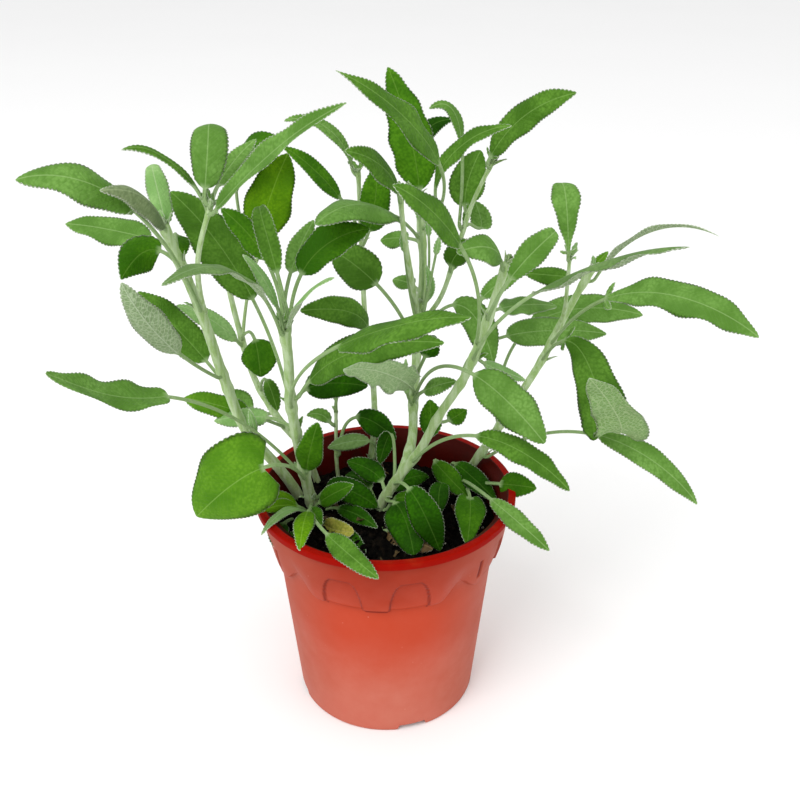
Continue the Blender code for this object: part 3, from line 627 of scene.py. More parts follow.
def pot_outside_material():
    """Moulded plastic: deep red at the lip and dusty below, with faint mottling and specks."""
    surface = Surface("pot_plastic", 0.5, 0.14)
    across, _, height = surface.split(surface.place())
    clouds = surface.noise(CLOUD_SIZE, 4.0)
    drifted = surface.maths("MULTIPLY_ADD", clouds, CLOUD_DRIFT, height)
    colour = surface.mix(surface.ramp(drifted, *ORANGE_HEIGHTS), POT_DUSTY, POT_ORANGE)
    colour = surface.mix(surface.ramp(drifted, *RED_HEIGHTS), colour, POT_RED)
    flank = surface.maths("MULTIPLY_ADD", clouds, CLOUD_DRIFT, surface.maths("ABSOLUTE", across))
    # duller flanks: partly dust, partly painted shade on the pot's left and right sides
    colour = surface.mix(surface.ramp(flank, *FLANK_REACH, 0.0, FLANK_SHARE), colour, POT_FLANK_DUST_AND_SHADE)
    film = surface.ramp(surface.noise(FILM_SIZE, 5.0, roughness=0.6), 0.3, 0.8)
    film = surface.times(film, surface.ramp(height, *FILM_HEIGHTS, *FILM_SHARES))
    colour = surface.mix(film, colour, DUST_PALE)
    # painted shade along the shoulder's moulded corners and in its narrow recesses
    colour = surface.mix(surface.times(surface.layer(SPAN)[0], CORNER_SHADE_SHARE), colour, POT_CORNER_SHADE)
    specks = surface.specks(SPECK_SIZE, (0.05, 0.1), SPECK_FIELD_SIZE, (0.56, 0.64, 0.0, 0.4))
    colour = surface.mix(specks, colour, DUST_PALE)
    surface.link(colour, "Base Color")
    surface.link(surface.ramp(clouds, 0.3, 0.7, 0.44, 0.62), "Roughness")
    surface.down(0.06, 0.5, DUST_PALE)
    grain = surface.maths("MULTIPLY_ADD", surface.noise(PLASTIC_GRAIN_SIZE), 0.4,
                          surface.noise(PLASTIC_WAVE_SIZE, 3.0))
    surface.bump(grain, PLASTIC_RELIEF, 0.5)
    return surface.material


def pot_lip_material():
    """The lip, rubbed clean: strong orange-red with a few crumbs of peat."""
    surface = Surface("pot_lip", 0.5, 0.03)
    wear = surface.noise(LIP_WEAR_SIZE, 3.0)
    colour = surface.mix(surface.ramp(wear, 0.5, 0.9), POT_LIP, POT_RED)
    crumbs = surface.specks(LIP_CRUMB_SIZE, (0.05, 0.12), LIP_CRUMB_FIELD_SIZE, (0.54, 0.6))
    surface.link(surface.mix(crumbs, colour, PEAT_BROWN), "Base Color")
    surface.bump(wear, LIP_RELIEF, 0.4)
    return surface.material


def pot_inside_material():
    """The inside: the same plastic without dust, a darker red as painted shade, with a little peat left on
    it.
    """
    surface = Surface("pot_inside", 0.5, 0.1)
    dirt = surface.ramp(surface.noise(INSIDE_DIRT_SIZE, 4.0), 0.52, 0.68, 0.0, 0.7)
    height = surface.split(surface.place())[2]
    low = surface.ramp(height, *INSIDE_DIRT_HEIGHTS, 1.0, 0.25)
    surface.link(surface.mix(surface.times(dirt, low), POT_INSIDE, PEAT_BROWN), "Base Color")
    surface.bump(surface.noise(INSIDE_GRAIN_SIZE), INSIDE_RELIEF, 0.5)
    return surface.material


def peat_material():
    surface = Surface("peat", 0.95, 0.05)
    crumbs = surface.noise(PEAT_CRUMB_SIZE, 5.0, roughness=0.7)
    surface.link(surface.mix(surface.ramp(crumbs, 0.45, 0.75), PEAT_BLACK, PEAT_BROWN), "Base Color")
    surface.bump(crumbs, PEAT_RELIEF, 1.0)
    return surface.material


def speckled_material(name, pale, dark, size, roughness):
    """Dry litter: two colours in small patches."""
    surface = Surface(name, roughness, 0.2)
    patches = surface.noise(size, 3.0)
    surface.link(surface.mix(surface.ramp(patches, 0.35, 0.65), dark, pale), "Base Color")
    surface.bump(patches, size / 4, 0.8)
    return surface.material


def floor_material():
    surface = Surface("studio_floor", 0.9, 0.1)
    shade = surface.maths("MULTIPLY_ADD", surface.noise(FLOOR_PATCH_SIZE), FLOOR_MOTTLE, FLOOR_SHADE)
    surface.link(shade, "Base Color")
    return surface.material


# ---------------------------------------------------------------- curves
PATH_STEPS = 10             # between the points of a stem's route
ARC_STEPS = 40
SMALL_ARC_STEPS = 12
LEAST_STEPS = 8


def smooth_path(points):
    """A dense line along a smooth curve through three or more points."""
    knots = np.array(points, dtype=float)
    chords = np.linalg.norm(np.diff(knots, axis=0), axis=1)
    slopes = np.diff(knots, axis=0) / chords[:, None]
    before, after = chords[:-1, None], chords[1:, None]
    inner = (slopes[:-1] * after + slopes[1:] * before) / (before + after)
    tangents = np.vstack([1.5 * slopes[0] - 0.5 * inner[0], inner,
                          1.5 * slopes[-1] - 0.5 * inner[-1]])
    line = [knots[0]]
    for i, chord in enumerate(chords):
        for step in range(1, PATH_STEPS + 1):
            t = step / PATH_STEPS
            ahead = t * t * (3 - 2 * t)
            line.append((1 - ahead) * knots[i] + ahead * knots[i + 1]
                        + chord * t * (1 - t) ** 2 * tangents[i]
                        - chord * t * t * (1 - t) * tangents[i + 1])
    return np.array(line)


def arc(start, aim, end, steps=ARC_STEPS):
    """A dense line that leaves `start` for `aim` and arrives at `end` coming from `aim`."""
    parts = np.linspace(0.0, 1.0, steps + 1)[:, None]
    return (1 - parts) ** 2 * start + 2 * parts * (1 - parts) * aim + parts ** 2 * end


def lengths_along(line):
    return np.concatenate([[0.0], np.cumsum(np.linalg.norm(np.diff(line, axis=0), axis=1))])


def places_along(line, lengths, wanted):
    return np.stack([np.interp(wanted, lengths, line[:, axis]) for axis in range(3)], axis=1)


def unit(vector):
    return vector / np.linalg.norm(vector)


def tangents_along(places):
    steps = np.gradient(places, axis=0)
    return steps / np.linalg.norm(steps, axis=1)[:, None]


def carried_normals(tangents, normal, start):
    """The normal at each place, carried along the curve without twisting from `start`."""
    normals = np.zeros_like(tangents)
    for direction in (1, -1):
        current = np.array(normal, dtype=float)
        i = start
        while 0 <= i < len(tangents):
            current = unit(current - tangents[i] * tangents[i].dot(current))
            normals[i] = current
            i += direction
    return normals


def softened(line, spacing=0.5, reach=5):
    """The same line in even steps, with its corners rounded over `reach` steps either way."""
    lengths = lengths_along(line)
    count = max(LEAST_STEPS, int(lengths[-1] / spacing))
    places = places_along(line, lengths, np.linspace(0, lengths[-1], count + 1))
    reach = min(reach, count // 3)
    weights = np.hanning(2 * reach + 3)[1:-1]
    weights /= weights.sum()
    padded = np.vstack([np.repeat(places[:1], reach, axis=0), places,
                        np.repeat(places[-1:], reach, axis=0)])
    soft = np.stack([np.convolve(padded[:, axis], weights, "valid") for axis in range(3)], axis=1)
    soft[0], soft[-1] = places[0], places[-1]
    return soft


def smoothstep(low, high, value):
    share = np.clip((value - low) / (high - low), 0.0, 1.0)
    return share * share * (3 - 2 * share)


# ---------------------------------------------------------------- meshes
FLIPPED = (0, 3, 2, 1)      # a face's corners the other way round


def ring_points(radii, turns, height):
    """Points round the Z axis, at one radius and height or at those of each point."""
    x = radii * np.cos(turns)
    return np.stack([x, radii * np.sin(turns), np.broadcast_to(height, x.shape)], -1)


def ring_faces(ids):
    """Faces between closed rings of vertex numbers, outwards where the rings climb."""
    ahead = np.roll(ids, -1, axis=1)
    return np.stack([ids[:-1], ahead[:-1], ahead[1:], ids[1:]], -1).reshape(-1, 4)


def ring_ids(rows, around, first=0):
    return first + np.arange(rows * around).reshape(rows, around)


class Mesher:
    """Gathers the parts of one piece: vertices in mm, faces, material slots and leaf layers."""

    def __init__(self):
        self.vertices = []
        self.faces = []
        self.slots = []
        self.spans = []
        self.edges = []
        self.count = 0

    def add(self, vertices, faces, slots=None, span=None, edge=None):
        blank = np.zeros((len(vertices), 2))
        self.vertices.append(np.asarray(vertices, dtype=float))
        self.spans.append(blank if span is None else span)
        self.edges.append(blank if edge is None else edge)
        self.faces += [tuple(int(i) + self.count for i in face) for face in faces]
        self.slots += slots or [0] * len(faces)
        self.count += len(vertices)

    def piece(self, name, materials, slot_name, node=None, layers=False):
        """Makes the object, lets it ride on the part, and hides the CAD node it stands for."""
        mesh = bpy.data.meshes.new(name)
        vertices = np.vstack(self.vertices) * MM
        mesh.from_pydata(vertices.tolist(), [], self.faces)
        for surface in materials:
            mesh.materials.append(surface)
        mesh.polygons.foreach_set("material_index", np.array(self.slots, dtype=np.int32))
        if layers:
            corners = np.zeros(len(mesh.loops), dtype=np.int32)
            mesh.loops.foreach_get("vertex_index", corners)
            for layer_name, values in ((SPAN, self.spans), (EDGE, self.edges)):
                layer = mesh.uv_layers.new(name=layer_name)
                layer.uv.foreach_set("vector", np.vstack(values)[corners].astype(np.float32).ravel())
        mesh.shade_smooth()
        mesh.update()
        thing = bpy.data.objects.new(name, mesh)
        bpy.context.collection.objects.link(thing)
        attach(thing, "root")
        if node is not None:
            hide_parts(node)


# ---------------------------------------------------------------- leaves
COLUMNS = 8                 # on each side of a blade's midrib
COLUMN_EASE = 1.5           # crowds the columns towards the midrib
STATION = 0.62              # between rows of a blade (mm)
STALK_STATION = 1.6
LEAST_BLADE_ROWS = 6
BLADE_MIDDLE = 0.55         # the part of a blade where it looks towards its `face`
TEETH = 3                   # rows to a tooth
TEETH_START = 0.03
WAVE_LENGTHS = (7, 13)      # (mm)
WAVE_SIZES = (0.05, 0.12)
EDGE_WAVES = 3.0            # radians of a blade's wavering width for each of those lengths
SHEET_WAVES = 2.0           # and of its wavy sheet
SHEET_WAVE_SIZE = 1.6
RIB_RADIUS = 0.14           # of the midrib at the tip (mm)
RIB_POWER = 1.3
# a stalk's thickness, as a part of the usual one, is the first value and the blade's width over
# the second, and 1 at most
LEAST_STALK = 0.25
STALK_SPREAD = 9.0
FOOT_SWELL = 0.45           # how much a stalk thickens at its stem, and over what length (mm)
FOOT_LENGTH = 2.5
BLADE_OPENING = 3.0         # half-width at which a stalk has become blade (mm)
SLIM_BLADE = 4.0            # half-width below which furrows are shallower (mm)
GROOVE_DEPTH = 0.3          # of the midrib on the upper side, as a part of its radius
GROOVE_WIDTH = 0.55
STALK_GROOVE = 0.6          # how much deeper it is on the stalk
RIDGE_HEIGHT = 0.9          # of the midrib on the underside, as a part of its radius
RIDGE_WIDTH = 0.8
FURROW_DEPTH = 0.04
FURROW_WIDTH = 0.45
LIFT_POWER = 1.58
EDGE_CURL = 0.13
HOOK_START = 0.55
HOOK_POWER = 1.3
HEART_REACH = 0.14
BEND_RANGE = (0.1, 0.8)     # the parts of a blade between which it may bend
BEND_EASE = 0.05

LEAF_SEED = 100
EAR_REACH = (1.6, 2.4)      # for each unit of `ears`
EAR_WIDTH = 0.55            # as a part of an ear's reach
EAR_STALK = 0.6             # (mm)
EAR_STATION = 0.7
EAR_COLUMNS = 4
SMALL_STATION = 0.8         # of buds and litter
SMALL_COLUMNS = 3

# A leaf's cross rows: how far along the leaf each is, which part of the blade that is, its place
# and its directions ahead, up from the face and across; and the stalk's length and the leaf's tip.
Rows = namedtuple("Rows", "along part stalk places tangents normals sides tip")
# How a blade wavers along its length.
Waves = namedtuple("Waves", "lengths phases size")


def blade_outline(part, widest, fullness):
    """Half-width along a blade as a part of its greatest: rounded foot, slimmer tip."""
    inside = np.clip(part, 0.0, 1.0)
    return np.sin(math.pi * inside ** (math.log(0.5) / math.log(widest))).clip(0) ** fullness


def curled(places, tangents, normals, part, hook, tip):
    """Bends the outer part of a blade back from its face, by `hook` degrees at its tip."""
    share = np.clip((part - HOOK_START) / (1 - HOOK_START), 0, 1)[:, None]
    turn = np.radians(hook) * share ** HOOK_POWER
    ahead = tangents * np.cos(turn) - normals * np.sin(turn)
    facing = normals * np.cos(turn) + tangents * np.sin(turn)
    steps = np.linalg.norm(np.diff(np.vstack([places, tip[None, :]]), axis=0), axis=1)
    moved = np.vstack([places[:1], places[:1] + np.cumsum(ahead * steps[:, None], axis=0)])
    first = int(np.argmax(part > HOOK_START))
    moved += places[first] - moved[first]
    moved[:first] = places[:first]
    return moved[:-1], ahead, facing, moved[-1]


def faced_apart(normals, tangents, part, first_face):
    """For a leaf with a bend: its first half looks its own way, and it turns over at the bend."""
    inner = np.flatnonzero((part > BEND_RANGE[0]) & (part < BEND_RANGE[1]))
    bend = inner[np.argmax(np.linalg.norm(np.gradient(tangents, axis=0), axis=1)[inner])]
    before = carried_normals(tangents, first_face, int(np.argmin(np.abs(part - part[bend] / 2))))
    apart = np.arctan2((np.cross(before, normals) * tangents).sum(1), (before * normals).sum(1))
    start, end = part[bend] - BEND_EASE, part[bend] + BEND_EASE
    turn = (apart[bend] * smoothstep(start, end, part))[:, None]
    turned = before * np.cos(turn) + np.cross(tangents, before) * np.sin(turn)
    return np.where(part[:, None] > end, normals, turned)


def leaf_rows(line, leaf, station):
    """The cross rows of a leaf, from its root to just before its tip, with their directions."""
    lengths = lengths_along(line)
    total = lengths[-1]
    stalk = min(leaf.stalk, total - 1.0)
    blade = total - stalk
    stalk_rows = max(2, round(stalk / STALK_STATION))
    blade_rows = max(LEAST_BLADE_ROWS, round(blade / station))
    along = np.concatenate([np.linspace(0, stalk, stalk_rows, endpoint=False),
                            np.linspace(stalk, total, blade_rows, endpoint=False)])
    along = np.append(along, total - blade / blade_rows / 3)
    places = places_along(line, lengths, np.append(along, total))
    tangents = tangents_along(places)[:-1]
    tip = places[-1]
    places = places[:-1]
    part = (along - stalk) / blade
    middle = int(np.argmin(np.abs(part - BLADE_MIDDLE)))
    normals = carried_normals(tangents, leaf.face, middle)
    if leaf.bend is not None:
        normals = faced_apart(normals, tangents, part, leaf.bend[-1])
    places, tangents, normals, tip = curled(places, tangents, normals, part, leaf.hook, tip)
    sides = np.cross(normals, tangents)
    turn = np.radians(leaf.twist) * smoothstep(0, 1, part)[:, None]
    normals, sides = (normals * np.cos(turn) + sides * np.sin(turn),
                      sides * np.cos(turn) - normals * np.sin(turn))
    return Rows(along, part, stalk, places, tangents, normals, sides, tip)


def leaf_waves(draw):
    """How a blade wavers: two wave lengths, their phases and a size."""
    return Waves(draw.uniform(*WAVE_LENGTHS, 2), draw.uniform(0, 2 * math.pi, 2),
                 draw.uniform(*WAVE_SIZES))


def leaf_widths(rows, leaf, waves):
    """Half-width of the toothed blade, and radius of the stalk and midrib, at each row."""
    tooth = np.abs(np.sin(math.pi * np.arange(len(rows.part)) / TEETH))
    tooth = np.where(rows.part > TEETH_START, tooth, 0)
    wavy = 1 + waves.size / 2 * np.sin(rows.along / waves.lengths[0] * EDGE_WAVES + waves.phases[0])
    spread = leaf.width / 2 * blade_outline(rows.part, leaf.widest, leaf.fullness)
    spread = np.maximum(0, spread * wavy - TOOTH_DEPTH * (1 - tooth) * np.minimum(1, spread / 2))
    taper = (STALK_RADIUS - RIB_RADIUS) * (1 - rows.part).clip(0) ** RIB_POWER
    rib = np.where(rows.part < 0, STALK_RADIUS, RIB_RADIUS + taper)
    rib = rib * min(1.0, leaf.width / STALK_SPREAD + LEAST_STALK)
    return spread, rib * (1 + FOOT_SWELL * np.exp(-rows.along / FOOT_LENGTH))


def leaf_skins(rows, leaf, waves, spread, rib, share):
    """Heights of the upper and lower skin over each row, `share` of the way out to its margin."""
    along = rows.along[:, None]
    q = np.abs(share)
    x = np.hypot(spread, rib) * share
    out = np.abs(x)
    bladed = smoothstep(0.0, BLADE_OPENING, spread)
    behind = along - out * (VEIN_SLANT + VEIN_CURVE * out)
    near = np.abs((behind + VEIN_PITCH / 2) % VEIN_PITCH - VEIN_PITCH / 2)
    furrow = np.exp(-(near / FURROW_WIDTH) ** 2) * (1 - q ** 4)
    sheet = leaf.fold * spread * q ** LIFT_POWER - EDGE_CURL * spread * q ** 3
    left, right = (np.sin(along / length * SHEET_WAVES + phase)
                   for length, phase in zip(waves.lengths, waves.phases))
    sheet = sheet + waves.size * SHEET_WAVE_SIZE * spread * q ** 2 * np.where(share > 0, left, right)
    sheet = sheet - FURROW_DEPTH * furrow * bladed * np.minimum(1, spread / SLIM_BLADE)
    thick = BLADE_THICKNESS / 2 * np.sqrt((1 - q ** 4).clip(0)) * bladed
    round_stalk = rib * np.sqrt((1 - q ** 2).clip(0)) * (1 - bladed)
    groove = GROOVE_DEPTH * rib * (1 + STALK_GROOVE * (1 - bladed))
    groove = groove * np.exp(-(x / (GROOVE_WIDTH * rib)) ** 2)
    ridge = rib * RIDGE_HEIGHT * np.exp(-(x / (RIDGE_WIDTH * rib)) ** 2) * bladed
    top = sheet + thick + round_stalk - groove
    bottom = sheet - thick - round_stalk - ridge
    bottom[:, 0], bottom[:, -1] = top[:, 0], top[:, -1]
    back = leaf.heart * q ** 2 * np.exp(-(rows.part[:, None] / HEART_REACH).clip(0)) * bladed
    return x, top, bottom, back


def leaf_faces(rows, wide):
    """Faces of a leaf with so many rows of points, and the slots of its upper and under side."""
    top_ids = ring_ids(rows, wide)
    low_ids = np.hstack([top_ids[:, :1], ring_ids(rows, wide - 2, rows * wide), top_ids[:, -1:]])
    tip_id = rows * (2 * wide - 2)

    def quads(ids):
        return np.stack([ids[:-1, :-1], ids[1:, :-1], ids[1:, 1:], ids[:-1, 1:]], -1).reshape(-1, 4)

    faces = quads(top_ids).tolist() + quads(low_ids)[:, ::-1].tolist()
    slots = [0] * ((rows - 1) * (wide - 1)) + [1] * ((rows - 1) * (wide - 1))
    for j in range(wide - 1):
        faces.append((top_ids[-1, j], tip_id, top_ids[-1, j + 1]))
        faces.append((low_ids[-1, j], low_ids[-1, j + 1], tip_id))
        slots += [0, 1]
    faces.append([*top_ids[0], *low_ids[0, 1:-1][::-1]])
    slots.append(1)
    return faces, slots


def leaf_body(mesher, line, leaf, draw, station=STATION, columns=COLUMNS):
    """A grooved stalk that opens into a thin, veined, toothed blade, as one closed body."""
    rows = leaf_rows(line, leaf, station)
    waves = leaf_waves(draw)
    spread, rib = (width[:, None] for width in leaf_widths(rows, leaf, waves))
    steps = np.linspace(-1, 1, 2 * columns + 1)
    share = (np.sign(steps) * np.abs(steps) ** COLUMN_EASE)[None, :]
    x, top, bottom, back = leaf_skins(rows, leaf, waves, spread, rib, share)

    def spots(heights):
        return (rows.places[:, None, :] + x[:, :, None] * rows.sides[:, None, :]
                + heights[:, :, None] * rows.normals[:, None, :]
                - back[:, :, None] * rows.tangents[:, None, :])

    def layer(first, second):
        grid = np.stack([first, np.broadcast_to(second, x.shape)], -1)
        skins = [grid.reshape(-1, 2), grid[:, 1:-1].reshape(-1, 2)]
        return np.vstack([*skins, [[0.0, grid[-1, 0, 1]]]]) / LEAF_UNIT

    vertices = np.vstack([spots(top).reshape(-1, 3), spots(bottom)[:, 1:-1].reshape(-1, 3),
                          rows.tip[None, :]])
    span = layer(x, rows.along[:, None] - rows.stalk)
    edge = layer(np.hypot(spread, rib) - np.abs(x), 0.0)
    mesher.add(vertices, *leaf_faces(*x.shape), span, edge)
    return rows


def stem_line(name):
    stem = STEMS[name] if name in STEMS else TWIGS[name][1]
    return smooth_path(stem.points), stem


def stem_radius(stem, along, length):
    return stem.base_radius + (stem.tip_radius - stem.base_radius) * along / length


def stem_at(name, height):
    """Centre, direction and radius of a stem or twig at a height."""
    line, stem = stem_line(name)
    lengths = lengths_along(line)
    along = np.interp(height, line[:, 2], lengths)
    here, ahead = places_along(line, lengths, [along - DIRECTION_STEP, along + DIRECTION_STEP])
    return (here + ahead) / 2, unit(ahead - here), stem_radius(stem, along, lengths[-1])


def leaf_line(name, leaf):
    """The leaf's middle line, from inside its stem to its tip."""
    centre, direction, radius = stem_at(name, leaf.height)
    outward = unit(leaf.aim - direction * direction.dot(leaf.aim))
    foot = centre + outward * (radius + STALK_GAP)
    knee = foot + outward * KNEE_OUT + direction * KNEE_UP
    if leaf.bend is None:
        course = [arc(knee, centre + leaf.aim, centre + leaf.tip)]
    else:
        turn, second_aim, _ = leaf.bend
        course = [arc(knee, centre + leaf.aim, centre + turn),
                  arc(centre + turn, centre + second_aim, centre + leaf.tip)[1:]]
    root = centre + outward * radius * ROOT_REACH
    return softened(np.vstack([root, foot, *course]))


def add_ears(mesher, leaf, rows, draw):
    """A pair of small lobes on the stalk, just below the blade."""
    at = int(np.searchsorted(rows.along, leaf.stalk - 1.0))
    place, tangent, normal = rows.places[at], rows.tangents[at], rows.normals[at]
    for side in (-1, 1):
        across = np.cross(normal, tangent) * side
        reach = leaf.ears * draw.uniform(*EAR_REACH)
        aim = place + reach * (0.7 * across + 0.2 * tangent)
        end = place + reach * (1.0 * across + 0.75 * tangent + 0.15 * normal)
        lobe = Leaf(0, 0, 0, EAR_STALK, reach * EAR_WIDTH, tuple(normal), leaf.tone)
        line = softened(arc(place, aim, end, SMALL_ARC_STEPS), spacing=0.4, reach=2)
        leaf_body(mesher, line, lobe, draw, EAR_STATION, EAR_COLUMNS)


def add_small_leaf(mesher, start, aim, end, shape, draw):
    """A tiny leaf on a short arc, with few rows and columns."""
    line = softened(arc(start, aim, end, SMALL_ARC_STEPS), reach=2)
    leaf_body(mesher, line, shape, draw, SMALL_STATION, SMALL_COLUMNS)


def make_leaf(piece_name, name, leaf, surfaces, seed, node):
    draw = np.random.default_rng(seed)
    mesher = Mesher()
    rows = leaf_body(mesher, leaf_line(name, leaf), leaf, draw)
    if leaf.ears:
        add_ears(mesher, leaf, rows, draw)
    mesher.piece(piece_name, surfaces[leaf.tone], "leaf", node, layers=True)


def make_leaves(surfaces):
    seed = LEAF_SEED
    for listed, prefix in ((LEAVES, "look_leaf"), (SMALL_LEAVES, "small_leaf")):
        for name, leaves in listed.items():
            for number, leaf in enumerate(leaves, start=1):
                node = f"leaf_{name}_{number}" if listed is LEAVES else None
                make_leaf(f"{prefix}_{name}_{number}", name, leaf, surfaces, seed, node)
                seed += 1


# ---------------------------------------------------------------- stems
STEM_SEED = 500
STEM_SIDES = 24
STEM_STATION = 2.0
LEAST_STEM_ROWS = 6
CORNERS_FACE = (1, 0.3, 0)  # where one of a stem's four rounded corners looks
CORNER_HEIGHT = 0.08        # how far they stand out
NODE_SWELL = 0.22           # how much a stem thickens where leaves leave it
NODE_LENGTH = 2.6
STEM_UNEVEN = 0.06
STEM_END = 0.6              # how far its rounded end stands out, as a part of its radius


def leaf_heights(name):
    listed = LEAVES.get(name, []) + SMALL_LEAVES.get(name, [])
    return [leaf.height for leaf in listed]


def stem_body(mesher, name, draw):
    """A stem with four soft corners, thicker at its joints, with a rounded end."""
    line, stem = stem_line(name)
    line = softened(line, spacing=1.0, reach=2)
    lengths = lengths_along(line)
    rows = max(LEAST_STEM_ROWS, round(lengths[-1] / STEM_STATION))
    along = np.linspace(0, lengths[-1], rows)
    places = places_along(line, lengths, along)
    tangents = tangents_along(places)
    normals = carried_normals(tangents, CORNERS_FACE, 0)
    sides = np.cross(tangents, normals)
    swell = sum(np.exp(-((places[:, 2] - height) / NODE_LENGTH) ** 2)
                for height in leaf_heights(name)) + np.zeros(rows)
    radius = stem_radius(stem, along, lengths[-1]) * (1 + NODE_SWELL * np.minimum(1, swell))
    radius = radius * (1 - STEM_UNEVEN * draw.random(rows))
    turns = np.linspace(0, 2 * math.pi, STEM_SIDES, endpoint=False)
    reach = radius[:, None] * (1 + CORNER_HEIGHT * np.cos(4 * turns))[None, :]
    rings = (places[:, None, :] + (reach * np.cos(turns))[:, :, None] * normals[:, None, :]
             + (reach * np.sin(turns))[:, :, None] * sides[:, None, :])
    ids = ring_ids(rows, STEM_SIDES)
    faces = ring_faces(ids).tolist()
    faces.append(ids[0][::-1].tolist())
    end = rows * STEM_SIDES
    faces += [(i, ahead, end) for i, ahead in zip(ids[-1], np.roll(ids[-1], -1))]
    point = places[-1] + tangents[-1] * stem.tip_radius * STEM_END
    mesher.add(np.vstack([rings.reshape(-1, 3), point[None, :]]), faces)


def make_stems(surface):
    for number, name in enumerate(STEMS):
        draw = np.random.default_rng(STEM_SEED + number)
        mesher = Mesher()
        stem_body(mesher, name, draw)
        grown = [name]
        for twig, (parent, _) in TWIGS.items():
            if parent in grown:
                stem_body(mesher, twig, draw)
                grown.append(twig)
        mesher.piece(f"look_stem_{name}", [surface], "stem", f"stem_{name}")


# ---------------------------------------------------------------- buds
BUD_SEED = 700
BUD_TONES = ("silver", "sage", "fresh")
BUDS_AT_TIP = 5
BUD_TURN = 2.4              # from one bud of a tuft to the next (radians)
BUD_SINK = 1.5              # how far below its stem's tip a tuft is rooted (mm)
BUD_LENGTH = (5.0, 10.0)
BUD_LEAN = (0.25, 0.9)
BUD_WIDTH = (0.34, 0.5)     # and its stalk, as parts of its length
BUD_STALK = 0.16
BUD_FOLD = 0.5
AXIL_LENGTH = (4.5, 9.0)    # of a bud in the corner below a leaf
AXIL_LEAN = (0.4, 1.0)
AXIL_SHARE = 0.5            # of the leaves that have one


def sideways(way, angle):
    """A direction square to `way`, at an angle round it."""
    return unit(np.cross(way, (math.cos(angle), math.sin(angle), 0.1)))


def bud_leaf(mesher, centre, heading, normal, length, draw):
    """A tiny leaf that has not opened out."""
    side = unit(np.cross(heading, normal))
    aim = centre + heading * length * 0.6 + side * draw.uniform(-0.15, 0.15) * length
    end = centre + heading * length - normal * draw.uniform(-0.2, 0.35) * length
    width = length * draw.uniform(*BUD_WIDTH)
    shape = Leaf(0, 0, 0, length * BUD_STALK, width, tuple(normal), "silver", BUD_FOLD)
    add_small_leaf(mesher, centre, aim, end, shape, draw)


def make_buds(surfaces):
    """Tufts of tiny leaves at the end of each stem and in the corners below its leaves."""
    for number, name in enumerate([*STEMS, *TWIGS]):
        draw = np.random.default_rng(BUD_SEED + number)
        line = stem_line(name)[0]
        mesher = Mesher()
        way = unit(line[-1] - line[-6])
        turn = draw.uniform(0, 2 * math.pi)
        for k in range(BUDS_AT_TIP):
            out = sideways(way, turn + k * BUD_TURN)
            heading = unit(way + out * draw.uniform(*BUD_LEAN))
            bud_leaf(mesher, line[-1] - way * BUD_SINK, heading, unit(way * 0.6 - out),
                     draw.uniform(*BUD_LENGTH), draw)
        for height in leaf_heights(name):
            centre, direction, radius = stem_at(name, height)
            if draw.random() < AXIL_SHARE:
                out = sideways(direction, draw.uniform(0, 2 * math.pi))
                heading = unit(direction + out * draw.uniform(*AXIL_LEAN))
                bud_leaf(mesher, centre + out * radius * 0.7, heading, unit(direction - out),
                         draw.uniform(*AXIL_LENGTH), draw)
        tone = BUD_TONES[number % len(BUD_TONES)]
        mesher.piece(f"buds_{name}", surfaces[tone], "leaf", layers=True)


# ---------------------------------------------------------------- pot
POT_COLUMNS = 540
COLLAR_ROWS = 95
WALL_ROWS = 34
INNER_ROWS = 14
NECK_ROUNDING = 0.5         # radius of the corner between the neck and the lip (mm)
LIP_ROUNDING = 0.8          # radius of the lip's corners (mm)
ROUNDING_ROWS = 6
NECK_ROWS = 5
UNDERSIDE_RISE = 0.6        # how far the underside stands off the ground within its foot (mm)
UNDERSIDE_BAND = 8.0        # width of its outermost faces (mm)
SLOT_EASE = 0.6             # half the angle over which a drain slot's side climbs (degrees)
# the rounded corner at the foot of the wall: how far in and how far up each row is (mm)
FOOT_ROUNDING = ((2.0, 0.0), (0.9, 0.0), (0.35, 0.2), (0.05, 0.6), (0.0, 1.1))
WALL_START = 4.9

EDGE_BLUR = 0.28            # half the width of a moulded step (mm)
LOBE_RISE = 9.0             # how much higher the shoulder's foot is past the outer lobes (mm)
LOBE_FADE = (LOBE_REACH - 9, LOBE_REACH + 3)        # where it climbs there (degrees)
STEP_FADE = (LOBE_REACH - 9, LOBE_REACH + 6)        # where the shoulder's step turns into a slope
MIDDLE_LOBE = (8, 5)        # between which angles the foot steps down to the middle lobe
SLOPE_HEIGHTS = (SHOULDER_BOTTOM + 3, ARCH_TOP + 4)
CLOSING_HEIGHT = 0.4        # the raised line that closes an arch (mm)
CLOSING_WIDTH = 0.45
CLOSING_SHADE = 0.6
FOOT_LINE_FADE = (LOBE_REACH - 5, LOBE_REACH - 11)
SLIT_ANGLES = (-149.5, -40.5, 30.5, 139.5)   # compass angles of the narrow recesses under the lip
SLIT_WIDTH = 2.0
SLIT_BOTTOM = 98.5
SLIT_TOP = 110.0
SLIT_DEPTH = 0.9
CORNER_SHADE_WIDTH = 0.5            # how wide the shade in a moulded corner is (mm)


def wall_radius(height):
    return POT_BASE_RADIUS + WALL_TAPER * height


def shoulder_radius(height):
    """The shoulder stands a step out of the wall and eases up to the neck under the lip."""
    foot = wall_radius(SHOULDER_BOTTOM) + SHOULDER_STEP
    part = np.clip((height - SHOULDER_BOTTOM) / (LIP_BOTTOM - SHOULDER_BOTTOM), 0, 1)
    return foot + (POT_NECK_RADIUS - foot) * (1 - (1 - part) ** SHOULDER_EASE)


def inner_radius(height):
    below = wall_radius(height) - WALL_THICKNESS
    return below + SHOULDER_FLARE * np.maximum(0.0, height - SHOULDER_BOTTOM)


def angles_off(angles, middles):
    """How far each angle is from the nearest of some middles, in degrees."""
    return np.min([np.abs((angles - middle + 180) % 360 - 180) for middle in middles], axis=0)


def edge_step(value):
    """0 to 1 over a moulded edge, for a distance past it in mm."""
    return smoothstep(-EDGE_BLUR, EDGE_BLUR, value)


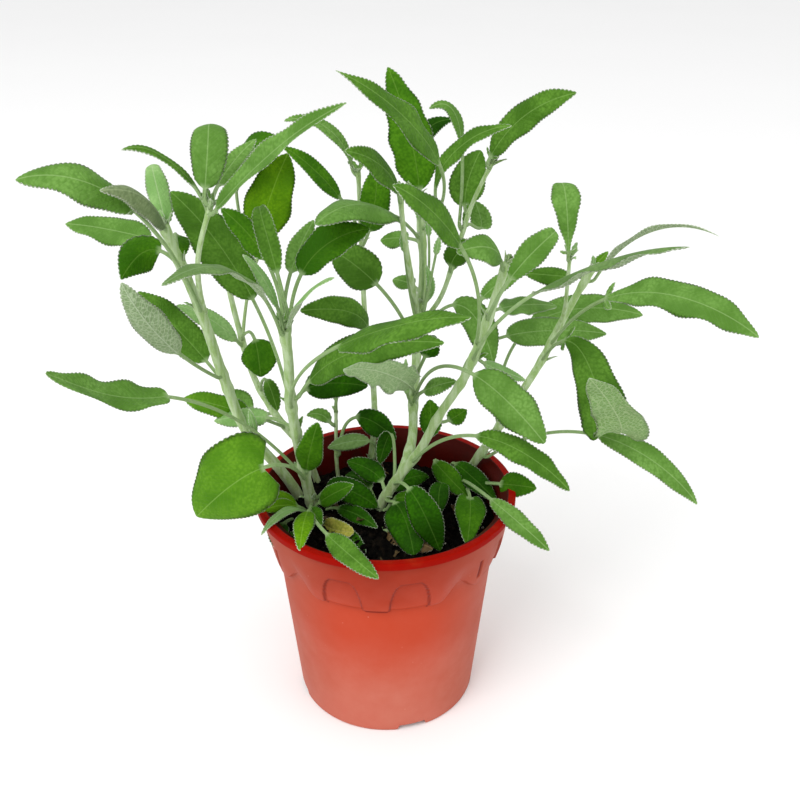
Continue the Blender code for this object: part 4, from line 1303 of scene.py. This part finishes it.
def line_at(distance, width):
    """A fine line: 1 at no distance, and next to nothing at twice its width."""
    return np.exp(-(distance / width) ** 2)


def slit_depth(angles, height):
    """0 outside the narrow recesses, 1 inside them."""
    beside = np.radians(angles_off(angles, SLIT_ANGLES)) * shoulder_radius(height)
    slit = smoothstep(SLIT_WIDTH / 2 + EDGE_BLUR, SLIT_WIDTH / 2 - EDGE_BLUR, beside)
    slit = slit * smoothstep(SLIT_BOTTOM - 1, SLIT_BOTTOM + 1, height)
    return slit * smoothstep(SLIT_TOP + EDGE_BLUR, SLIT_TOP - EDGE_BLUR, height)


def outside_radius(angles, height):
    """Outside of the shoulder at compass angles, and the painted shade in its corners and recesses."""
    plain = wall_radius(height)
    full = shoulder_radius(height) - plain
    offset = angles_off(angles, SCALLOP_GROUPS)
    lower_edge = ARCH_LINE + LOBE_RISE * smoothstep(*LOBE_FADE, offset)
    stepped = edge_step(height - lower_edge)
    lower_edge -= LOBE_DROP * smoothstep(*MIDDLE_LOBE, offset)
    share = smoothstep(*STEP_FADE, offset)
    collar = full * (stepped * (1 - share) + smoothstep(*SLOPE_HEIGHTS, height) * share)
    half_arch = np.interp(height, ARCH_HEIGHTS, ARCH_HALVES)
    beside = np.radians(half_arch - np.abs(offset - SCALLOP_OFFSET)) * plain
    inside = np.minimum(beside, ARCH_TOP - height)
    arch = edge_step(inside)
    closing = line_at(height - ARCH_LINE, CLOSING_WIDTH) * arch
    outline = line_at(inside, CORNER_SHADE_WIDTH) * (height > SHOULDER_BOTTOM)
    foot_line = line_at(height - lower_edge, CORNER_SHADE_WIDTH) * (1 - arch)
    foot_line *= smoothstep(*FOOT_LINE_FADE, offset)
    slit = slit_depth(angles, height)
    # painted shade: darker along the arch outlines, the lobes' foot, the closing line and in the slits
    painted_shade = np.maximum(np.maximum(outline, foot_line) * (1 - share), CLOSING_SHADE * closing)
    recess = np.maximum(ARCH_RELIEF * stepped, collar - ARCH_DEPTH)
    radii = plain + collar * (1 - arch) + arch * recess + CLOSING_HEIGHT * closing
    return radii - SLIT_DEPTH * slit, np.maximum(painted_shade, slit)


def make_pot(materials):
    """The turned pot: every row is a closed ring of the same number of points."""
    angles = np.linspace(-180, 180, POT_COLUMNS, endpoint=False)
    turns = np.radians(angles)
    rows = []
    painted_shades = []

    def ring(radii, height, painted_shade=0.0):
        rows.append(ring_points(radii, turns, height))
        painted_shades.append(np.broadcast_to(painted_shade, angles.shape))

    def corner(radius, height, start):
        """A quarter turn of the lip's rounding about a centre, from a direction in degrees."""
        for turn in np.radians(np.linspace(start, start + 90, ROUNDING_ROWS)):
            ring(radius + LIP_ROUNDING * math.cos(turn), height + LIP_ROUNDING * math.sin(turn))

    slots = [DRAIN_FIRST_ANGLE + k * 360 / DRAIN_SLOTS for k in range(DRAIN_SLOTS)]
    half_slot = math.degrees(DRAIN_WIDTH / 2 / POT_BASE_RADIUS)
    lifted = DRAIN_HEIGHT * smoothstep(half_slot + SLOT_EASE, half_slot - SLOT_EASE,
                                       angles_off(angles, slots))
    ledge = POT_BASE_RADIUS - DRAIN_DEPTH
    ring(ledge - UNDERSIDE_BAND, UNDERSIDE_RISE)
    ring(ledge, UNDERSIDE_RISE)
    ring(ledge + 1, lifted)
    for inset, rise in FOOT_ROUNDING:
        ring(POT_BASE_RADIUS - inset + WALL_TAPER * (lifted + rise), lifted + rise)
    for height in np.linspace(WALL_START, SHOULDER_BOTTOM - 2.5, WALL_ROWS):
        ring(wall_radius(height), height)
    for height in np.linspace(SHOULDER_BOTTOM - 2, LIP_BOTTOM - 0.6, COLLAR_ROWS):
        radii, painted_shade = outside_radius(angles, height)
        ring(radii, height, painted_shade)
    for turn in np.radians(np.linspace(0, 90, NECK_ROWS)):
        ring(POT_NECK_RADIUS + NECK_ROUNDING - NECK_ROUNDING * math.cos(turn),
             LIP_BOTTOM - NECK_ROUNDING + NECK_ROUNDING * math.sin(turn))
    lip_row = len(rows)
    outer, inner = POT_RIM_RADIUS - LIP_ROUNDING, POT_RIM_RADIUS - LIP_DEPTH + LIP_ROUNDING
    ring(outer - 1, LIP_BOTTOM)
    corner(outer, LIP_BOTTOM + LIP_ROUNDING, -90)
    corner(outer, POT_HEIGHT - LIP_ROUNDING, 0)
    outer_rows = len(rows)
    corner(inner, POT_HEIGHT - LIP_ROUNDING, 90)
    for height in np.linspace(POT_HEIGHT - 3, FLOOR_THICKNESS + 2, INNER_ROWS):
        ring(min(POT_RIM_RADIUS - LIP_DEPTH, inner_radius(height)), height)
    ring(inner_radius(FLOOR_THICKNESS) - 2, FLOOR_THICKNESS)
    ring(POT_BASE_RADIUS / 3, FLOOR_THICKNESS)

    ids = ring_ids(len(rows), POT_COLUMNS)
    faces = ring_faces(ids).tolist() + [ids[0][::-1].tolist(), ids[-1].tolist()]
    looks = [(k >= lip_row) + (k >= outer_rows) for k in range(len(rows) - 1) for _ in angles]
    # the painted shade of the shoulder goes into the first value of the span layer
    painted_shades = np.concatenate(painted_shades)
    mesher = Mesher()
    mesher.add(np.vstack(rows), faces, looks + [0, 2], np.stack([painted_shades, np.zeros_like(painted_shades)], -1))
    mesher.piece("look_pot", materials, "pot", "pot", layers=True)


# ---------------------------------------------------------------- soil
SOIL_SEED = 900
SOIL_RINGS = 46
SOIL_SIDES = 150
SOIL_GAP = 0.3              # between the soil and the pot (mm)
SOIL_CENTRE = 0.02
SOIL_SIDE_HEIGHTS = (SOIL_EDGE_HEIGHT - 4, 90.0, 60.0, 30.0, 4.0)
LUMP_HEIGHT = 1.5
LUMP_LENGTHS = (3.5, 14.0)
LUMP_WAVES = 36
RIPPLE_LENGTHS = (2.0, 4.0)
RIPPLE_WAVES = 30
RIPPLE_SHARE = 0.5
LUMP_SINK = 0.4             # how far the ground is sunk, as a part of LUMP_HEIGHT
WAVE_TURN = 6.28            # radians to a wave's length
CRUMBS = 620
CRUMB_SIZES = (0.5, 1.9)
CRUMB_LIFTS = (-0.6, 1.0)
CRUMB_ROWS = 5
CRUMB_SIDES = 8
CRUMB_END = 0.7             # how far a crumb's ends lie from its centre, as a part of its size
CRUMB_HEIGHT = 0.75
CRUMB_ROUGHNESS = (0.75, 1.2)
CRUMB_SKEW = 0.6

LITTER_SEED = 901
GRAINS = 26
GRAIN_SIZES = (0.4, 0.9)
GRAIN_LIFT = 0.7
BITS = 18
BIT_LENGTHS = (5, 13)
BIT_WIDTHS = (0.8, 4.5)
BIT_LIFTS = (0.6, 1.8)
BIT_STALK = 0.3             # as a part of its length
BIT_FOLD = 0.8


def lumps(x, y, draw, count, lengths):
    """A sum of seeded waves: an uneven ground, about -1 to 1."""
    total = np.zeros_like(x)
    for _ in range(count):
        length = draw.uniform(*lengths)
        heading, phase = draw.uniform(0, 2 * math.pi, 2)
        total += np.sin((x * math.cos(heading) + y * math.sin(heading)) * WAVE_TURN / length + phase)
    return total / math.sqrt(count)


def soil_height(x, y, edge):
    share = np.clip(np.hypot(x, y) / edge, 0, 1)
    return SOIL_EDGE_HEIGHT + SOIL_CROWN * (1 - share ** 2)


def place_on_soil(draw, edge, margin):
    """A random place on the smooth soil, at least `margin` from its edge."""
    reach = (edge - margin) * math.sqrt(draw.random())
    turn = draw.uniform(0, 2 * math.pi)
    x, y = reach * math.cos(turn), reach * math.sin(turn)
    return np.array([x, y, soil_height(x, y, edge)])


def crumb(mesher, centre, size, draw):
    """A rough pebble-shaped crumb."""
    turns = np.linspace(0, 2 * math.pi, CRUMB_SIDES, endpoint=False)
    rings = []
    for tilt in (math.pi * k / CRUMB_ROWS for k in range(1, CRUMB_ROWS)):
        reach = size * math.sin(tilt) * draw.uniform(*CRUMB_ROUGHNESS, CRUMB_SIDES)
        rings.append(ring_points(reach, turns, size * CRUMB_HEIGHT * math.cos(tilt)))
    spin = draw.uniform(-CRUMB_SKEW, CRUMB_SKEW, (3, 3)) + np.eye(3)
    ends = [[[0, 0, size * CRUMB_END]], [[0, 0, -size * CRUMB_END]]]
    body = np.vstack([ends[0], *rings, ends[1]]) @ spin + centre
    ids = ring_ids(CRUMB_ROWS - 1, CRUMB_SIDES, 1)
    ahead = np.roll(ids, -1, axis=1)
    faces = ring_faces(ids)[:, FLIPPED].tolist()
    faces += [(0, i, j) for i, j in zip(ids[0], ahead[0])]
    faces += [(len(body) - 1, j, i) for i, j in zip(ids[-1], ahead[-1])]
    mesher.add(body, faces)


def make_soil(surface):
    draw = np.random.default_rng(SOIL_SEED)
    edge = inner_radius(SOIL_EDGE_HEIGHT) - SOIL_GAP
    radii = edge * np.linspace(SOIL_CENTRE, 1, SOIL_RINGS)[:, None]
    turns = np.linspace(0, 2 * math.pi, SOIL_SIDES, endpoint=False)
    x, y = radii * np.cos(turns), radii * np.sin(turns)
    ground = (lumps(x, y, draw, LUMP_WAVES, LUMP_LENGTHS)
              + RIPPLE_SHARE * lumps(x, y, draw, RIPPLE_WAVES, RIPPLE_LENGTHS))
    uneven = LUMP_HEIGHT * (ground - LUMP_SINK)
    fade = 1 - 0.5 * smoothstep(0.9, 1.0, radii / edge)
    top = ring_points(radii, turns, soil_height(x, y, edge) + uneven * fade)
    side = [ring_points(inner_radius(height) - SOIL_GAP, turns, height)
            for height in SOIL_SIDE_HEIGHTS]
    rings = np.concatenate([top, side])
    ids = ring_ids(len(rings), SOIL_SIDES)
    faces = ring_faces(ids)[:, FLIPPED].tolist() + [ids[0].tolist(), ids[-1][::-1].tolist()]
    mesher = Mesher()
    mesher.add(rings.reshape(-1, 3), faces)
    for _ in range(CRUMBS):
        place = place_on_soil(draw, edge, margin=3)
        place[2] += draw.uniform(*CRUMB_LIFTS)
        crumb(mesher, place, draw.uniform(*CRUMB_SIZES), draw)
    mesher.piece("look_soil", [surface], "soil", "soil")


def make_litter(perlite, straw):
    """Perlite grains and bits of dead stalk lying on the peat."""
    draw = np.random.default_rng(LITTER_SEED)
    edge = inner_radius(SOIL_EDGE_HEIGHT)
    grains, bits = Mesher(), Mesher()
    for _ in range(GRAINS):
        place = place_on_soil(draw, edge, margin=4) + (0, 0, GRAIN_LIFT)
        crumb(grains, place, draw.uniform(*GRAIN_SIZES), draw)
    for _ in range(BITS):
        start = place_on_soil(draw, edge, margin=12)
        start[2] += draw.uniform(*BIT_LIFTS)
        heading = unit(np.array([*draw.uniform(-1, 1, 2), draw.uniform(-0.1, 0.2)]))
        length = draw.uniform(*BIT_LENGTHS)
        width = draw.uniform(*BIT_WIDTHS)
        shape = Leaf(0, 0, 0, length * BIT_STALK, width, (0, 0, 1), "yellow", BIT_FOLD)
        aim = start + heading * length / 2 + (0, 0, draw.uniform(0, 2))
        add_small_leaf(bits, start, aim, start + heading * length, shape, draw)
    grains.piece("perlite_grains", [perlite], "soil")
    bits.piece("dead_leaf_bits", [straw, straw], "soil", layers=True)


# ---------------------------------------------------------------- studio (m)
FLOOR_HALF = 7.0
FLOOR_POINTS = 24           # along each side
FLOOR_DROP = 0.0002         # below the pot's underside
AIR_BRIGHTNESS = 0.9
LIGHTS_CENTRE = (0, 0, 0.18)
LIGHT_SIZE = 1.6
KEY_LIGHT = (44.0, (-1.1, -1.5, 2.3))       # power (W) and place
FILL_LIGHT = (7.0, (1.8, -1.1, 1.2))
CAMERA_PLACE = (0.0078, -0.4584, 0.4167)
CAMERA_DIP = 0.4763         # how far it looks down (radians)
CAMERA_LENS = 45.0          # (mm)


def area_light(name, power, place):
    light = bpy.data.lights.new(name, "AREA")
    light.shape = "SQUARE"
    light.energy = power
    light.size = LIGHT_SIZE
    thing = bpy.data.objects.new(name, light)
    thing.location = place
    aim = Vector(LIGHTS_CENTRE) - Vector(place)
    thing.rotation_euler = aim.to_track_quat("-Z", "Y").to_euler()
    bpy.context.collection.objects.link(thing)


def make_floor():
    spots = np.linspace(-FLOOR_HALF, FLOOR_HALF, FLOOR_POINTS)
    vertices = [(x, y, 0.0) for y in spots for x in spots]
    faces = [(k, k + 1, k + FLOOR_POINTS + 1, k + FLOOR_POINTS)
             for k in range(FLOOR_POINTS * (FLOOR_POINTS - 1)) if (k + 1) % FLOOR_POINTS]
    mesh = bpy.data.meshes.new("floor")
    mesh.from_pydata(vertices, [], faces)
    mesh.materials.append(floor_material())
    floor = bpy.data.objects.new("floor", mesh)
    floor.location = (0, 0, -FLOOR_DROP)
    bpy.context.collection.objects.link(floor)


def make_air():
    world = bpy.data.worlds.new("studio_air")
    world.use_nodes = True
    backdrop = world.node_tree.nodes["Background"]
    backdrop.inputs["Color"].default_value = (1.0, 1.0, 1.0, 1.0)
    backdrop.inputs["Strength"].default_value = AIR_BRIGHTNESS
    bpy.context.scene.world = world


def make_camera():
    camera = bpy.data.cameras.new("camera")
    camera.lens = CAMERA_LENS
    camera.sensor_width = 36.0
    camera.clip_start = 0.01
    view = bpy.data.objects.new("camera", camera)
    view.location = CAMERA_PLACE
    view.rotation_euler = (math.pi / 2 - CAMERA_DIP, 0, 0)
    bpy.context.collection.objects.link(view)
    bpy.context.scene.camera = view
    bpy.context.scene.view_settings.view_transform = "Standard"


def make_studio():
    make_floor()
    make_air()
    area_light("key_light", *KEY_LIGHT)
    area_light("fill_light", *FILL_LIGHT)
    make_camera()


# ---------------------------------------------------------------- whole plant
def main():
    surfaces = {name: [leaf_material(f"leaf_{name}", tone, UPPER_SIDE),
                       leaf_material(f"leaf_{name}_under", tone, UNDERSIDE)]
                for name, tone in TONES.items()}
    make_pot([pot_outside_material(), pot_lip_material(), pot_inside_material()])
    make_soil(peat_material())
    make_litter(speckled_material("perlite", PERLITE_WHITE, PERLITE_GREY, PERLITE_PATCH_SIZE, 0.9),
                speckled_material("dead_leaf", DEAD_LEAF, DEAD_LEAF_DARK, LITTER_PATCH_SIZE, 0.85))
    make_stems(stem_material())
    make_leaves(surfaces)
    make_buds(surfaces)
    make_studio()


main()
